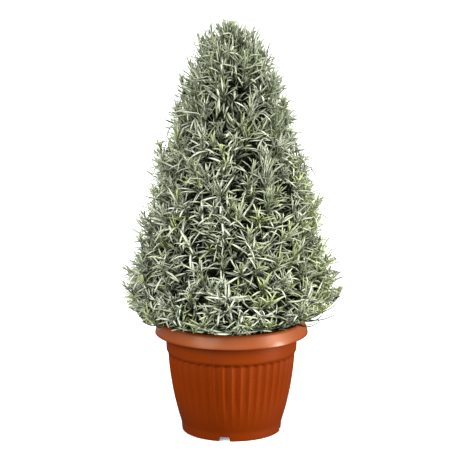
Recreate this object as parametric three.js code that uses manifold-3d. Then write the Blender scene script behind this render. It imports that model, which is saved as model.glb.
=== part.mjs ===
// A lavender clipped to a cone, in a round fluted plastic pot. Millimetres, +Z up.
// The origin is the centre of the pot's foot, on the surface that the pot stands on.
// The side seen from the front faces -Y.

import * as THREE from 'three';
import { mergeVertices } from 'three/addons/utils/BufferGeometryUtils.js';
import Module from 'manifold-3d';

const wasm = await Module();
wasm.setup();

// ---- driving dimensions ----

const GAP = 0.35;                  // air between pieces that touch

// pot
const POT_HEIGHT = 177;
const COLLAR_RADIUS = 120;         // widest, at the collar's lower edge
const COLLAR_DROP = 20.7;          // height of the collar
const RIM_RADIUS = 112;            // outer edge of the rim's top
const RIM_INNER_RADIUS = 107;
const WALL = 2.5;
const BAND_RADIUS = 103.8;         // top of the plain band under the collar
const BAND_TAPER = 1.6;            // how much narrower its lower edge is
const BAND_FOOT = 130;             // height of the band's lower edge
const BODY_TOP = new THREE.Vector2(99.6, 125);
const BODY_CURVE = new THREE.Vector2(96.5, 68);
const BODY_FOOT = new THREE.Vector2(79, 14);
const FOOT_RADIUS = 77.6;
const FOOT_WALL = 4.5;
const FLOOR_HEIGHT = 9;            // underside of the raised floor
const FLUTE_COUNT = 44;
const FLUTE_DEPTH = 1.8;
const FLUTE_HEIGHTS = [32, 72, 117];
const FLUTE_FADE = 50;             // height above the foot where the hollows reach full depth
const BAND_TOP = 171;              // where the band meets the collar's underside
const COLLAR_BULGE = [             // how far the collar stands in from its edge, and at what height
  { inset: 1.1, height: 166.3 },
  { inset: 3.6, height: 172.8 },
];
const INNER_SHOULDER = 168;        // heights where the inside changes its slope
const INNER_HEIGHTS = [114, 60];
const NOTCH = { count: 4, width: 16, height: 7, turn: -98.3 };
const DRAIN = { count: 6, radius: 5, ring: 52, sides: 6 };

// soil
const SOIL_TOP = 164;
const SOIL_SIDES = 22;
const SOIL_LUMP = 2.2;
const SOIL_RINGS = [78, 52, 26];   // radii of the lumpy top's rings

// wood: a leader that starts as a stump in the soil, main stems round it, and twigs
const LEADER = {
  sides: 6,
  heights: [140, 168, 205, 285, 370, 455, 532],
  radii: [7.5, 7.5, 5.4, 4.5, 3.7, 2.9, 2.2],
  upright: 2,                      // points of it that stand straight up
  sway: 5,
};
const STEM = {
  count: 6,
  sides: 4,
  heights: [172, 198, 255, 340, 430],
  reach: [0, 22, 42, 44, 33],      // distance from the axis
  radii: [3.8, 3.6, 3.2, 2.7, 2.1],
  sway: 7,
};
const TWIG = { radius: 1.9, flare: 1.3, spacing: 9, turn: 0.6, below: 8 };

// crown: outline of revolution, r = radius * (1 - rise ** bow) ** power above its widest place
const CROWN = { foot: 188, wide: 236, top: 644, radius: 167, bow: 0.72, power: 0.42, tuck: 0.005 };
const OUTLINE_PLAY = 5;            // leaves end this much inside or outside the outline
const SKIRT = { top: 265, weight: 1.4 };  // the growth over the rim is denser

// sprays: a main shoot that forks into two side shoots
const SPRAY_COUNT = 51;
const GOLDEN_ANGLE = 137.508;
const MAIN_LENGTH = 80;
const TUFT_SHARE = 0.85;           // part of a tuft's length that its shoot stops short of the outline
const SHOOT_RISE = { low: 8, high: 90, power: 0.62 };  // degrees above level at the tip
const SHOOT_CURL = 30;             // degrees that a shoot turns upward on its way
const FORK = 0.34;                 // where the side shoots leave the main one
const SIDES = [
  { offset: 35, lag: 6, whorls: [0.52, 0.94], girth: 0.9 },
  { offset: 29, lag: 19, whorls: [0.9], girth: 0.85 },
];
const SIDE_BEND = { along: 0.28, out: 0.42 };
const TIP_INSET = 14;              // least distance of a side shoot's tip from the outline
const TURN_CHOICES = 32;
const MAIN_WHORLS = [FORK, 0.66, 0.955];
const WHORL_TWIST = 22;            // degrees, either way
const SHOOT_RADIUS = { base: 1.7, tip: 1.15 };
const LEAF_NODE = 2.8;             // length of stem that a whorl of leaves grows from

// leaves: straps with a blunt end
const LEAF = {
  width: 3.6,
  lower: { length: 32, lean: 40, leanPlay: 26, side: 16 },
  upper: { length: 28, lean: 34, leanPlay: 24, side: 16 },
  tuft: { length: 27, lean: 15, leanPlay: 16, side: 10 },
};
const LEAF_VARIES = [0.88, 1.1];   // shortest and longest, as parts of the length
const LEAF_SCALES = [1, 0.84, 0.68, 0.54];
const LEAF_TRIES = 9;              // for each scale
const LEAF_CLEARANCE = 0.35;
const POT_CLEARANCE = 1.5;

const RAD = Math.PI / 180;
const UP = new THREE.Vector3(0, 0, 1);

// ---- small helpers ----

// A repeatable number from 0 to 1 for item k and purpose c.
function draw(k, c) {
  const x = Math.sin(k * 12.9898 + c * 78.233) * 43758.5453;
  return x - Math.floor(x);
}

function spread(k, c, reach) {
  return (2 * draw(k, c) - 1) * reach;
}

function lerp(a, b, t) {
  return a + (b - a) * t;
}

function polar(radius, angle, z) {
  return new THREE.Vector3(radius * Math.cos(angle), radius * Math.sin(angle), z);
}

function meshGeometry(points, faces) {
  const geometry = new THREE.BufferGeometry();
  const flat = points.flatMap((p) => [p.x, p.y, p.z]);
  geometry.setAttribute('position', new THREE.Float32BufferAttribute(flat, 3));
  geometry.setIndex(faces.flat());
  return geometry;
}

function toManifold(geometry) {
  const bare = geometry.clone();
  bare.deleteAttribute('normal');
  bare.deleteAttribute('uv');
  const merged = mergeVertices(bare);
  return new wasm.Manifold(new wasm.Mesh({
    numProp: 3,
    vertProperties: new Float32Array(merged.attributes.position.array),
    triVerts: new Uint32Array(merged.index.array),
  }));
}

function fromManifold(solid) {
  const { vertProperties, triVerts } = solid.getMesh();
  const geometry = new THREE.BufferGeometry();
  geometry.setAttribute('position', new THREE.BufferAttribute(vertProperties, 3));
  geometry.setIndex(new THREE.BufferAttribute(triVerts, 1));
  return geometry;
}

// ---- rings of points, joined to a skin and closed at both ends ----

function ringAt(count, radius, z) {
  return Array.from({ length: count }, (_, i) => polar(radius, (i / count) * 2 * Math.PI, z));
}

// Faces between two rings. The second may have as many points as the first, or twice as many,
// or half as many.
function joinRings(lower, upper, faces) {
  const n = Math.min(lower.length, upper.length);
  for (let i = 0; i < n; i += 1) {
    const next = (i + 1) % n;
    if (lower.length === upper.length) {
      faces.push([lower[i], lower[next], upper[next]], [lower[i], upper[next], upper[i]]);
    } else if (upper.length > lower.length) {
      const middle = upper[2 * i + 1];
      faces.push([lower[i], lower[next], middle]);
      faces.push([lower[i], middle, upper[2 * i]]);
      faces.push([lower[next], upper[(2 * i + 2) % upper.length], middle]);
    } else {
      const middle = lower[2 * i + 1];
      faces.push([upper[i], middle, upper[next]]);
      faces.push([upper[i], lower[2 * i], middle]);
      faces.push([upper[next], middle, lower[(2 * i + 2) % lower.length]]);
    }
  }
}

function skinOfRings(rings, startZ, endZ) {
  const points = rings.flat();
  const faces = [];
  let offset = 0;
  const indexed = rings.map((ring) => {
    const indices = ring.map((_, i) => offset + i);
    offset += ring.length;
    return indices;
  });
  for (let i = 0; i + 1 < indexed.length; i += 1) {
    joinRings(indexed[i], indexed[i + 1], faces);
  }
  const first = indexed[0];
  const last = indexed[indexed.length - 1];
  const start = points.push(new THREE.Vector3(0, 0, startZ)) - 1;
  const end = points.push(new THREE.Vector3(0, 0, endZ)) - 1;
  first.forEach((p, i) => faces.push([start, first[(i + 1) % first.length], p]));
  last.forEach((p, i) => faces.push([end, p, last[(i + 1) % last.length]]));
  return meshGeometry(points, faces);
}

// ---- pot ----

// The body swells from the foot to the band along one quadratic curve.
const bodyCurve = new THREE.QuadraticBezierCurve(BODY_FOOT, BODY_CURVE, BODY_TOP);

function bodyRadius(z) {
  let low = 0;
  let high = 1;
  for (let i = 0; i < 30; i += 1) {
    const middle = (low + high) / 2;
    if (bodyCurve.getPoint(middle).y < z) {
      low = middle;
    } else {
      high = middle;
    }
  }
  return bodyCurve.getPoint(low).x;
}

// Ridges stay on the body's curve. The hollows between them are shallow at the foot.
function flutedRing(z) {
  const depth = FLUTE_DEPTH * Math.min(1, (z - BODY_FOOT.y) / FLUTE_FADE);
  return Array.from({ length: 2 * FLUTE_COUNT }, (_, i) => {
    const hollow = i % 2 === 1 ? depth : 0;
    return polar(bodyRadius(z) - hollow, (i / FLUTE_COUNT) * Math.PI, z);
  });
}

function innerWall() {
  const floor = FLOOR_HEIGHT + WALL;
  return [
    [RIM_INNER_RADIUS, POT_HEIGHT],
    [BAND_RADIUS - WALL, INNER_SHOULDER],
    ...INNER_HEIGHTS.map((z) => [bodyRadius(z) - FLUTE_DEPTH - WALL, z]),
    [BODY_FOOT.x - WALL, floor],
  ];
}

function potGeometry() {
  const collarFoot = POT_HEIGHT - COLLAR_DROP;
  const plain = (profile) => profile.map(([r, z]) => ringAt(FLUTE_COUNT, r, z));
  const rings = [
    ...plain([
      [FOOT_RADIUS - FOOT_WALL, FLOOR_HEIGHT],
      [FOOT_RADIUS - FOOT_WALL, 0],
      [FOOT_RADIUS, 0],
      [BODY_FOOT.x, BODY_FOOT.y],
    ]),
    ...FLUTE_HEIGHTS.map(flutedRing),
    ...plain([
      [BODY_TOP.x, BODY_TOP.y],
      [BAND_RADIUS - BAND_TAPER, BAND_FOOT],
      [BAND_RADIUS, BAND_TOP],
      [RIM_RADIUS - WALL, BAND_TOP + 1.5],
      [COLLAR_RADIUS - WALL, collarFoot + 0.8],
      [COLLAR_RADIUS, collarFoot],
      ...COLLAR_BULGE.map(({ inset, height }) => [COLLAR_RADIUS - inset, height]),
      [RIM_RADIUS, POT_HEIGHT],
      ...innerWall(),
    ]),
  ];
  let pot = toManifold(skinOfRings(rings, FLOOR_HEIGHT, FLOOR_HEIGHT + WALL));
  for (let i = 0; i < NOTCH.count; i += 1) {
    const notch = new THREE.BoxGeometry(3 * FOOT_WALL, NOTCH.width, 2 * NOTCH.height);
    notch.translate(FOOT_RADIUS - FOOT_WALL / 2, 0, 0);
    notch.rotateZ((NOTCH.turn + (360 * i) / NOTCH.count) * RAD);
    pot = pot.subtract(toManifold(notch));
  }
  for (let i = 0; i < DRAIN.count; i += 1) {
    const hole = new THREE.CylinderGeometry(DRAIN.radius, DRAIN.radius, 4 * WALL, DRAIN.sides);
    hole.rotateX(Math.PI / 2);
    hole.translate(DRAIN.ring, 0, FLOOR_HEIGHT + WALL / 2);
    hole.rotateZ((360 * i * RAD) / DRAIN.count);
    pot = pot.subtract(toManifold(hole));
  }
  return fromManifold(pot);
}

// ---- soil ----

// Radius of the pot's inside at a height.
function innerRadius(z) {
  const wall = innerWall();
  const i = wall.findIndex(([, height]) => height <= z);
  const [[upperRadius, upper], [lowerRadius, lower]] = [wall[i - 1], wall[i]];
  return lerp(lowerRadius, upperRadius, (z - lower) / (upper - lower));
}

function soilGeometry() {
  const floor = FLOOR_HEIGHT + WALL + GAP;
  const heights = [floor, ...[...INNER_HEIGHTS].reverse(), SOIL_TOP];
  const sides = heights.map((z) => ringAt(SOIL_SIDES, innerRadius(z) - 1.2 * GAP, z));
  const lumpy = SOIL_RINGS.map((r, row) => ringAt(SOIL_SIDES, r, SOIL_TOP).map((p, i) => {
    const lump = draw(i, row + 60) * SOIL_LUMP;
    return new THREE.Vector3(p.x, p.y, p.z + lump);
  }));
  const ball = toManifold(skinOfRings([...sides, ...lumpy], floor, SOIL_TOP));
  const radius = LEADER.radii[0] + GAP / Math.cos(Math.PI / LEADER.sides);
  const ends = [LEADER.heights[0] - GAP, SOIL_TOP + 20];
  const hole = skinOfRings(ends.map((z) => ringAt(LEADER.sides, radius, z)), ...ends);
  return fromManifold(ball.subtract(toManifold(hole)));
}

// ---- crown outline ----

function crownRadius(z) {
  if (z < CROWN.wide) {
    return CROWN.radius - CROWN.tuck * (CROWN.wide - z) ** 2;
  }
  const rise = Math.min(1, (z - CROWN.wide) / (CROWN.top - CROWN.wide));
  return CROWN.radius * (1 - rise ** CROWN.bow) ** CROWN.power;
}

// Heights that share the outline's area out evenly among count places. The last is the top.
function evenHeights(count) {
  const sums = [0];
  for (let z = CROWN.foot; z < CROWN.top; z += 1) {
    const drop = crownRadius(z) - crownRadius(z + 1);
    const weight = z < SKIRT.top ? SKIRT.weight : 1;
    sums.push(sums[sums.length - 1] + weight * crownRadius(z + 0.5) * Math.hypot(1, drop));
  }
  const total = sums[sums.length - 1];
  return Array.from({ length: count }, (_, k) => {
    const wanted = ((k + 0.5) / (count - 0.5)) * total;
    const i = sums.findIndex((sum) => sum >= wanted - 1e-6);
    return CROWN.foot + i - 1 + (wanted - sums[i - 1]) / (sums[i] - sums[i - 1]);
  });
}

// ---- axes of the shoots ----

// Low shoots grow outward, high ones upward.
function tipElevation(z) {
  const rise = THREE.MathUtils.clamp((z - CROWN.foot) / (CROWN.top - CROWN.foot), 0, 1);
  return lerp(SHOOT_RISE.low, SHOOT_RISE.high, rise ** SHOOT_RISE.power) * RAD;
}

function heading(azimuth, elevation) {
  return polar(Math.cos(elevation), azimuth, Math.sin(elevation));
}

function mainAxis(k, z) {
  const azimuth = (k * GOLDEN_ANGLE + spread(k, 1, 5)) * RAD;
  const elevation = tipElevation(z);
  const tipWay = heading(azimuth, elevation);
  const baseWay = heading(azimuth, Math.max(0, elevation - SHOOT_CURL * RAD));
  const tip = polar(crownRadius(z), azimuth, z).addScaledVector(tipWay, -TUFT_SHARE * LEAF.tuft.length);
  const bend = tip.clone().addScaledVector(tipWay, -MAIN_LENGTH / 2);
  const base = bend.clone().addScaledVector(baseWay, -MAIN_LENGTH / 2);
  return new THREE.QuadraticBezierCurve3(base, bend, tip);
}

// A side shoot leaves the main one towards turn, an angle round the main shoot's tip.
function sideAxis(main, side, turn) {
  const start = main.getPoint(FORK);
  const along = main.getTangent(FORK);
  const tipWay = main.getTangent(1);
  const level = new THREE.Vector3().crossVectors(UP, tipWay).normalize();
  const rise = new THREE.Vector3().crossVectors(tipWay, level).normalize();
  const offset = level.multiplyScalar(Math.cos(turn)).addScaledVector(rise, Math.sin(turn));
  const tip = main.getPoint(1)
    .addScaledVector(offset, side.offset)
    .addScaledVector(tipWay, -side.lag);
  const reach = tip.distanceTo(start);
  const bend = start.clone()
    .addScaledVector(along, reach * SIDE_BEND.along)
    .addScaledVector(offset, reach * SIDE_BEND.out);
  return new THREE.QuadraticBezierCurve3(start, bend, tip);
}

// How much free room a shoot's tip has. It stays inside the outline and above the pot.
function tipRoom(axis, tips) {
  const tip = axis.getPoint(1);
  const inside = crownRadius(tip.z) - Math.hypot(tip.x, tip.y);
  const room = Math.min(...tips.map((other) => other.distanceTo(tip)));
  return room + 3 * Math.min(0, inside - TIP_INSET, tip.z - POT_HEIGHT - TIP_INSET);
}

// The side shoots turn to where the nearest other tips are farthest away. The second one
// stands a third of a turn from the first.
function layOutSprays() {
  const mains = evenHeights(SPRAY_COUNT).map((z, k) => mainAxis(k, z));
  const tips = mains.map((axis) => axis.getPoint(1));
  return mains.map((main, k) => {
    const others = tips.filter((_, i) => i !== k);
    const choices = Array.from({ length: TURN_CHOICES }, (_, i) => {
      const hand = i % 2 === 0 ? 1 : -1;
      const turn = (i / TURN_CHOICES) * 2 * Math.PI;
      const axes = [
        sideAxis(main, SIDES[0], turn),
        sideAxis(main, SIDES[1], turn + (hand * 2 * Math.PI) / 3),
      ];
      return { main, axes, hand, room: tipRoom(axes[0], others) + tipRoom(axes[1], others) };
    });
    const best = choices.reduce((a, b) => (b.room > a.room ? b : a));
    tips.push(...best.axes.map((axis) => axis.getPoint(1)));
    return best;
  });
}

// ---- clear space ----

function segmentDistance(a, b, c, d) {
  const u = new THREE.Vector3().subVectors(b, a);
  const v = new THREE.Vector3().subVectors(d, c);
  const w = new THREE.Vector3().subVectors(a, c);
  const uu = u.dot(u);
  const uv = u.dot(v);
  const vv = v.dot(v);
  const uw = u.dot(w);
  const vw = v.dot(w);
  const span = uu * vv - uv * uv;
  let s = span > 1e-9 ? THREE.MathUtils.clamp((uv * vw - vv * uw) / span, 0, 1) : 0;
  const t = THREE.MathUtils.clamp((uv * s + vw) / vv, 0, 1);
  s = THREE.MathUtils.clamp((uv * t - uw) / uu, 0, 1);
  return w.addScaledVector(u, s).addScaledVector(v, -t).length();
}

// Every stem and leaf so far, as rods with round ends. A rod names the places that it grows
// from, because what grows from the same place may touch it there.
class ClearSpace {
  constructor() {
    this.rods = [];
  }

  add(a, b, radius, roots) {
    const middle = a.clone().add(b).multiplyScalar(0.5);
    this.rods.push({ a, b, radius, roots, middle, half: a.distanceTo(b) / 2 });
  }

  isFree(a, b, radius, root) {
    const middle = a.clone().add(b).multiplyScalar(0.5);
    const half = a.distanceTo(b) / 2;
    return this.rods.every((rod) => {
      const room = radius + rod.radius + LEAF_CLEARANCE;
      if (rod.middle.distanceTo(middle) > rod.half + half + room || rod.roots.includes(root)) {
        return true;
      }
      return segmentDistance(a, b, rod.a, rod.b) > room;
    });
  }
}

// ---- skin of a spray: three-sided stems, with leaves raised from their faces ----

class Skin {
  constructor() {
    this.points = [];
    this.faces = new Set();
  }

  addRing(centre, across, along, radius, phase) {
    const other = new THREE.Vector3().crossVectors(along, across);
    return [0, 1, 2].map((i) => {
      const angle = phase + (i * 2 * Math.PI) / 3;
      const point = centre.clone()
        .addScaledVector(across, radius * Math.cos(angle))
        .addScaledVector(other, radius * Math.sin(angle));
      return this.points.push(point) - 1;
    });
  }

  addFace(a, b, c) {
    const face = [a, b, c];
    this.faces.add(face);
    return face;
  }

  // Two rings turned against each other: three faces stand on an edge below, three on a corner.
  addBand(lower, upper) {
    const down = [0, 1, 2].map((i) => this.addFace(lower[i], lower[(i + 1) % 3], upper[i]));
    const up = [0, 1, 2].map((i) => {
      const next = (i + 1) % 3;
      return this.addFace(lower[next], upper[next], upper[i]);
    });
    return { down, up };
  }

  // Replaces a face by a prism that ends in a ring.
  extrude(face, ring) {
    this.faces.delete(face);
    for (let i = 0; i < 3; i += 1) {
      const next = (i + 1) % 3;
      this.addFace(face[i], face[next], ring[next]);
      this.addFace(face[i], ring[next], ring[i]);
    }
  }

  // Replaces a face by a wedge that ends in an edge. The face's first side is the flat one.
  addWedge(face, first, start, end) {
    this.faces.delete(face);
    const [f0, f1, f2] = [0, 1, 2].map((i) => face[(first + i) % 3]);
    const p = this.points.push(start) - 1;
    const q = this.points.push(end) - 1;
    this.addFace(f0, f1, q);
    this.addFace(f0, q, p);
    this.addFace(f1, f2, q);
    this.addFace(f2, f0, p);
    this.addFace(f2, p, q);
  }

  centre(face) {
    const sum = new THREE.Vector3();
    face.forEach((i) => sum.add(this.points[i]));
    return sum.multiplyScalar(1 / 3);
  }

  geometry() {
    return meshGeometry(this.points, [...this.faces]);
  }
}

function perpendicular(vector, along) {
  return vector.clone().addScaledVector(along, -vector.dot(along)).normalize();
}

// Grows a stem along an axis. It starts from a free ring, or from a face of another stem.
// Returns the faces that can carry leaves, each with its way out and its place on the stem.
function growStem(skin, space, axis, plan) {
  const length = axis.getLength();
  const half = LEAF_NODE / 2 / length;
  const seats = [];
  const radiusAt = (s) => lerp(SHOOT_RADIUS.base, SHOOT_RADIUS.tip, s) * plan.girth;
  let across = perpendicular(plan.across, axis.getTangent(plan.start));
  let phase = plan.phase;
  const ringAtStation = (s) => {
    const along = axis.getTangent(s);
    across = perpendicular(across, along);
    return skin.addRing(axis.getPoint(s), across, along, radiusAt(s), phase);
  };
  let ring = ringAtStation(plan.start);
  let from = { point: axis.getPoint(plan.start), root: plan.root };
  if (plan.face) {
    skin.extrude(plan.face, ring);
    space.add(skin.centre(plan.face), from.point, radiusAt(0), [plan.root, `${plan.name}0`]);
    from.root = `${plan.name}0`;
  } else {
    skin.addFace(ring[0], ring[2], ring[1]);
  }
  plan.whorls.forEach((s, i) => {
    const root = `${plan.name}${i}`;
    phase += (60 + (i === 0 ? 0 : spread(plan.seed, 20 + i, WHORL_TWIST))) * RAD;
    const lower = ringAtStation(s - half);
    skin.addBand(ring, lower);
    const point = axis.getPoint(s);
    space.add(from.point, point, radiusAt(s), [from.root, root]);
    const way = (turn) => {
      const along = axis.getTangent(s);
      return across.clone().applyAxisAngle(along, phase + turn * RAD);
    };
    const downWays = [60, 180, 300].map(way);
    const upWays = [120, 240, 360].map(way);
    phase += 60 * RAD;
    ring = ringAtStation(s + half);
    const { down, up } = skin.addBand(lower, ring);
    const seat = (face, outward, kind) => ({
      skin, face, outward, kind, root, along: axis.getTangent(s), tier: plan.whorls.length - i,
    });
    down.forEach((face, n) => seats.push(seat(face, downWays[n], 'lower')));
    up.forEach((face, n) => seats.push(seat(face, upWays[n], 'upper')));
    from = { point, root };
  });
  const along = axis.getTangent(1);
  const tip = skin.points.push(axis.getPoint(1).addScaledVector(along, 1.5)) - 1;
  ring.forEach((corner, n) => {
    const face = skin.addFace(corner, ring[(n + 1) % 3], tip);
    const outward = across.clone().applyAxisAngle(along, phase + (60 + 120 * n) * RAD);
    seats.push({ skin, face, outward, kind: 'tuft', root: from.root, along, tier: 0 });
  });
  return seats;
}

function growSpray(spray, k, space) {
  const skin = new Skin();
  const along = spray.main.getTangent(FORK);
  const sideWay = perpendicular(
    spray.axes[0].getPoint(1).sub(spray.main.getPoint(FORK)),
    along,
  );
  const seats = growStem(skin, space, spray.main, {
    name: `main${k}_`, seed: k, start: 0, across: sideWay, phase: -120 * RAD,
    girth: 1, whorls: MAIN_WHORLS, root: `base${k}`,
  });
  const forks = [seats[0], seats[spray.hand > 0 ? 1 : 2]];
  const sideSeats = forks.flatMap((fork, n) => {
    const corner = skin.points[fork.face[0]].clone().sub(skin.centre(fork.face));
    return growStem(skin, space, spray.axes[n], {
      name: `side${k}_${n}_`, seed: k + 500 * (n + 1), start: 0.12, across: corner, phase: 0,
      girth: SIDES[n].girth, whorls: SIDES[n].whorls, root: fork.root, face: fork.face,
    });
  });
  return {
    skin,
    axis: spray.main,
    across: skin.points[0].clone().sub(spray.main.getPoint(0)),
    seats: [...seats.filter((seat) => !forks.includes(seat)), ...sideSeats],
  };
}

// ---- leaves ----

function insideOutline(point, play) {
  const r = Math.hypot(point.x, point.y);
  const lowest = r > COLLAR_RADIUS + POT_CLEARANCE ? POT_HEIGHT - 4 : POT_HEIGHT + 2;
  const widest = Math.min(crownRadius(point.z - 4) + play, CROWN.radius - 2);
  return point.z > lowest && point.z < CROWN.top + play && r < widest;
}

// A straight leaf that leans out from the stem. Each attempt leans a little differently.
function leafShape(seat, seed, attempt, scale) {
  const form = LEAF[seat.kind];
  const root = seat.skin.centre(seat.face);
  const lean = (form.lean + form.leanPlay * draw(seed, 30 + attempt)) * RAD;
  const way = seat.along.clone().multiplyScalar(Math.cos(lean))
    .addScaledVector(seat.outward, Math.sin(lean))
    .applyAxisAngle(seat.along, spread(seed, 50 + attempt, form.side) * RAD);
  const length = form.length * scale * lerp(...LEAF_VARIES, draw(seed, 90 + attempt));
  const tip = root.clone().addScaledVector(way, length);
  const across = new THREE.Vector3().crossVectors(seat.along, way).normalize();
  return { root, tip, across };
}

function growLeaf(seat, seed, space) {
  const play = spread(seed, 110, OUTLINE_PLAY);
  for (const scale of LEAF_SCALES) {
    for (let attempt = 0; attempt < LEAF_TRIES; attempt += 1) {
      const { root, tip, across } = leafShape(seat, seed, attempt, scale);
      if (insideOutline(tip, play) && space.isFree(root, tip, LEAF.width / 2, seat.root)) {
        raiseLeaf(seat, root, tip, across, space);
        return;
      }
    }
  }
}

// The flat side lies below on a leaf from a lower face, and above on one from an upper face.
function raiseLeaf(seat, root, tip, across, space) {
  const left = tip.clone().addScaledVector(across, -LEAF.width / 2);
  const right = tip.clone().addScaledVector(across, LEAF.width / 2);
  if (seat.kind === 'upper') {
    seat.skin.addWedge(seat.face, 1, right, left);
  } else {
    seat.skin.addWedge(seat.face, 0, left, right);
  }
  space.add(root, tip, LEAF.width / 2, [seat.root]);
}

// ---- wood ----

// A tube through rings of points, closed at both ends.
function tubeGeometry(rings) {
  const sides = rings[0].length;
  const points = rings.flat();
  const faces = [];
  const indices = rings.map((_, i) => rings[i].map((__, n) => i * sides + n));
  for (let i = 0; i + 1 < rings.length; i += 1) {
    joinRings(indices[i], indices[i + 1], faces);
  }
  const last = indices[indices.length - 1];
  for (let n = 1; n + 1 < sides; n += 1) {
    faces.push([indices[0][0], indices[0][n + 1], indices[0][n]]);
    faces.push([last[0], last[n], last[n + 1]]);
  }
  return meshGeometry(points, faces);
}

function ringAround(centre, along, radius, sides, reference) {
  const across = perpendicular(reference, along);
  const other = new THREE.Vector3().crossVectors(along, across);
  return Array.from({ length: sides }, (_, i) => {
    const angle = (i / sides) * 2 * Math.PI;
    return centre.clone()
      .addScaledVector(across, radius * Math.cos(angle))
      .addScaledVector(other, radius * Math.sin(angle));
  });
}

function stemTube(limb) {
  const along = (i) => {
    const from = limb.points[Math.max(0, i - 1)];
    const to = limb.points[Math.min(limb.points.length - 1, i + 1)];
    return to.clone().sub(from).normalize();
  };
  const reference = new THREE.Vector3(1, 0, 0);
  return tubeGeometry(limb.points.map(
    (p, i) => ringAround(p, i < limb.upright ? UP : along(i), limb.radii[i], limb.sides, reference),
  ));
}

function leader() {
  const points = LEADER.heights.map((z, i) => {
    const sway = i < LEADER.upright ? 0 : LEADER.sway;
    return new THREE.Vector3(spread(i, 3, sway), spread(i, 4, sway), z);
  });
  return { ...LEADER, points };
}

function mainStem(n) {
  const azimuth = ((n + 0.5) * 360) / STEM.count + spread(n, 5, STEM.sway);
  const points = STEM.heights.map((z, i) => {
    const sway = spread(n + 7 * i, 6, STEM.sway);
    return polar(STEM.reach[i], (azimuth + sway) * RAD, z + n);
  });
  return { ...STEM, points, upright: 0 };
}

function anchorsOf(limbs) {
  return limbs.flatMap((limb) => limb.points.slice(1).flatMap((end, i) => {
    const start = limb.points[i];
    const count = Math.ceil(start.distanceTo(end) / TWIG.spacing);
    return Array.from({ length: count }, (_, n) => start.clone().lerp(end, (n + 0.5) / count));
  })).filter((p) => p.z > POT_HEIGHT);
}

// A twig rises from the wood to the spray's base and ends just short of it. It starts where it
// is short, turns little and crosses no stem of a spray.
function twigTo(spray, k, anchors, space) {
  const baseWay = spray.axis.getTangent(0);
  const end = spray.axis.getPoint(0).addScaledVector(baseWay, -GAP);
  const cost = (anchor) => {
    const way = end.clone().sub(anchor);
    const turn = Math.max(0, way.angleTo(baseWay) - TWIG.turn);
    return way.length() + 25 * turn + 2 * Math.max(0, anchor.z + TWIG.below - end.z);
  };
  const ranked = [...anchors].sort((a, b) => cost(a) - cost(b));
  const anchor = ranked.find((a) => space.isFree(a, end, TWIG.radius + 1, `base${k}`));
  space.add(anchor, end, TWIG.radius, [`base${k}`]);
  const way = end.clone().sub(anchor).normalize();
  return tubeGeometry([
    ringAround(anchor, way, TWIG.radius * TWIG.flare, 3, spray.across),
    ringAround(end, baseWay, SHOOT_RADIUS.base, 3, spray.across),
  ]);
}

function woodGeometry(sprays, space) {
  const limbs = [leader(), ...Array.from({ length: STEM.count }, (_, n) => mainStem(n))];
  const anchors = anchorsOf(limbs);
  const twigs = sprays.map((spray, k) => twigTo(spray, k, anchors, space));
  limbs.forEach((limb) => limb.points.slice(1).forEach((end, i) => {
    space.add(limb.points[i], end, limb.radii[i], ['wood']);
  }));
  const solids = [...limbs.map(stemTube), ...twigs].map(toManifold);
  return fromManifold(solids.reduce((whole, solid) => whole.add(solid)));
}

// ---- the whole plant in its pot ----

function piece(name, geometry, color, roughness) {
  const material = new THREE.MeshStandardMaterial({ color, roughness, metalness: 0 });
  const mesh = new THREE.Mesh(geometry, material);
  mesh.name = name;
  return mesh;
}

const space = new ClearSpace();
const sprays = layOutSprays().map((spray, k) => growSpray(spray, k, space));
const wood = woodGeometry(sprays, space);

// The outermost leaves are placed first, so that the outline fills evenly.
const seats = sprays.flatMap((spray) => spray.seats).map((seat, seed) => ({ ...seat, seed }));
seats.sort((a, b) => a.tier - b.tier || a.seed - b.seed);
seats.forEach((seat) => growLeaf(seat, seat.seed, space));

const pottedLavender = new THREE.Group();
pottedLavender.name = 'potted_lavender';
pottedLavender.add(piece('pot', potGeometry(), 0xa84d24, 0.5));
pottedLavender.add(piece('soil', soilGeometry(), 0x241c16, 1));
pottedLavender.add(piece('wood', wood, 0x5b4a38, 0.9));
sprays.forEach(({ skin }, k) => {
  const name = `spray_${String(k + 1).padStart(2, '0')}`;
  pottedLavender.add(piece(name, skin.geometry(), 0x93a184, 0.8));
});

export default pottedLavender;
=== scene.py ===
"""A potted lavender: a cone of narrow silver-green leaves, clipped to shape, in a round fluted pot.

Run as a script, it builds the pot, the potting mix, the wood and the leafy sprays around the fixed frame.
Sizes are in metres and angles in radians, except where a name or a comment says degrees. +Z is up along
the pot's axis, and -Y is the side that the camera sees.
"""

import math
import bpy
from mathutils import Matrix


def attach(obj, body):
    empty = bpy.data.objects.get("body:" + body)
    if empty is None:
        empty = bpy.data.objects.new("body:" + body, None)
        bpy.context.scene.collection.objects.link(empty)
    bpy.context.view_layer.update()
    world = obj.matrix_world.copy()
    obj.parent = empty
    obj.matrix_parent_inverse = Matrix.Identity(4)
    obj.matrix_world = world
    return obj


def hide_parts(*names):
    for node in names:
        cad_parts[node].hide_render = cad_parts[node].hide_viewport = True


bl_info = {
    "name": "Potted Lavender",
    "version": (1, 0, 0),
    "blender": (4, 5, 0),
    "location": "3D View > Sidebar > Lavender",
    "description": "Builds a clipped lavender, its wood, its potting mix and its fluted pot",
    "category": "Add Mesh",
}

import bpy
import numpy as np
from mathutils import Vector

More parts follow.
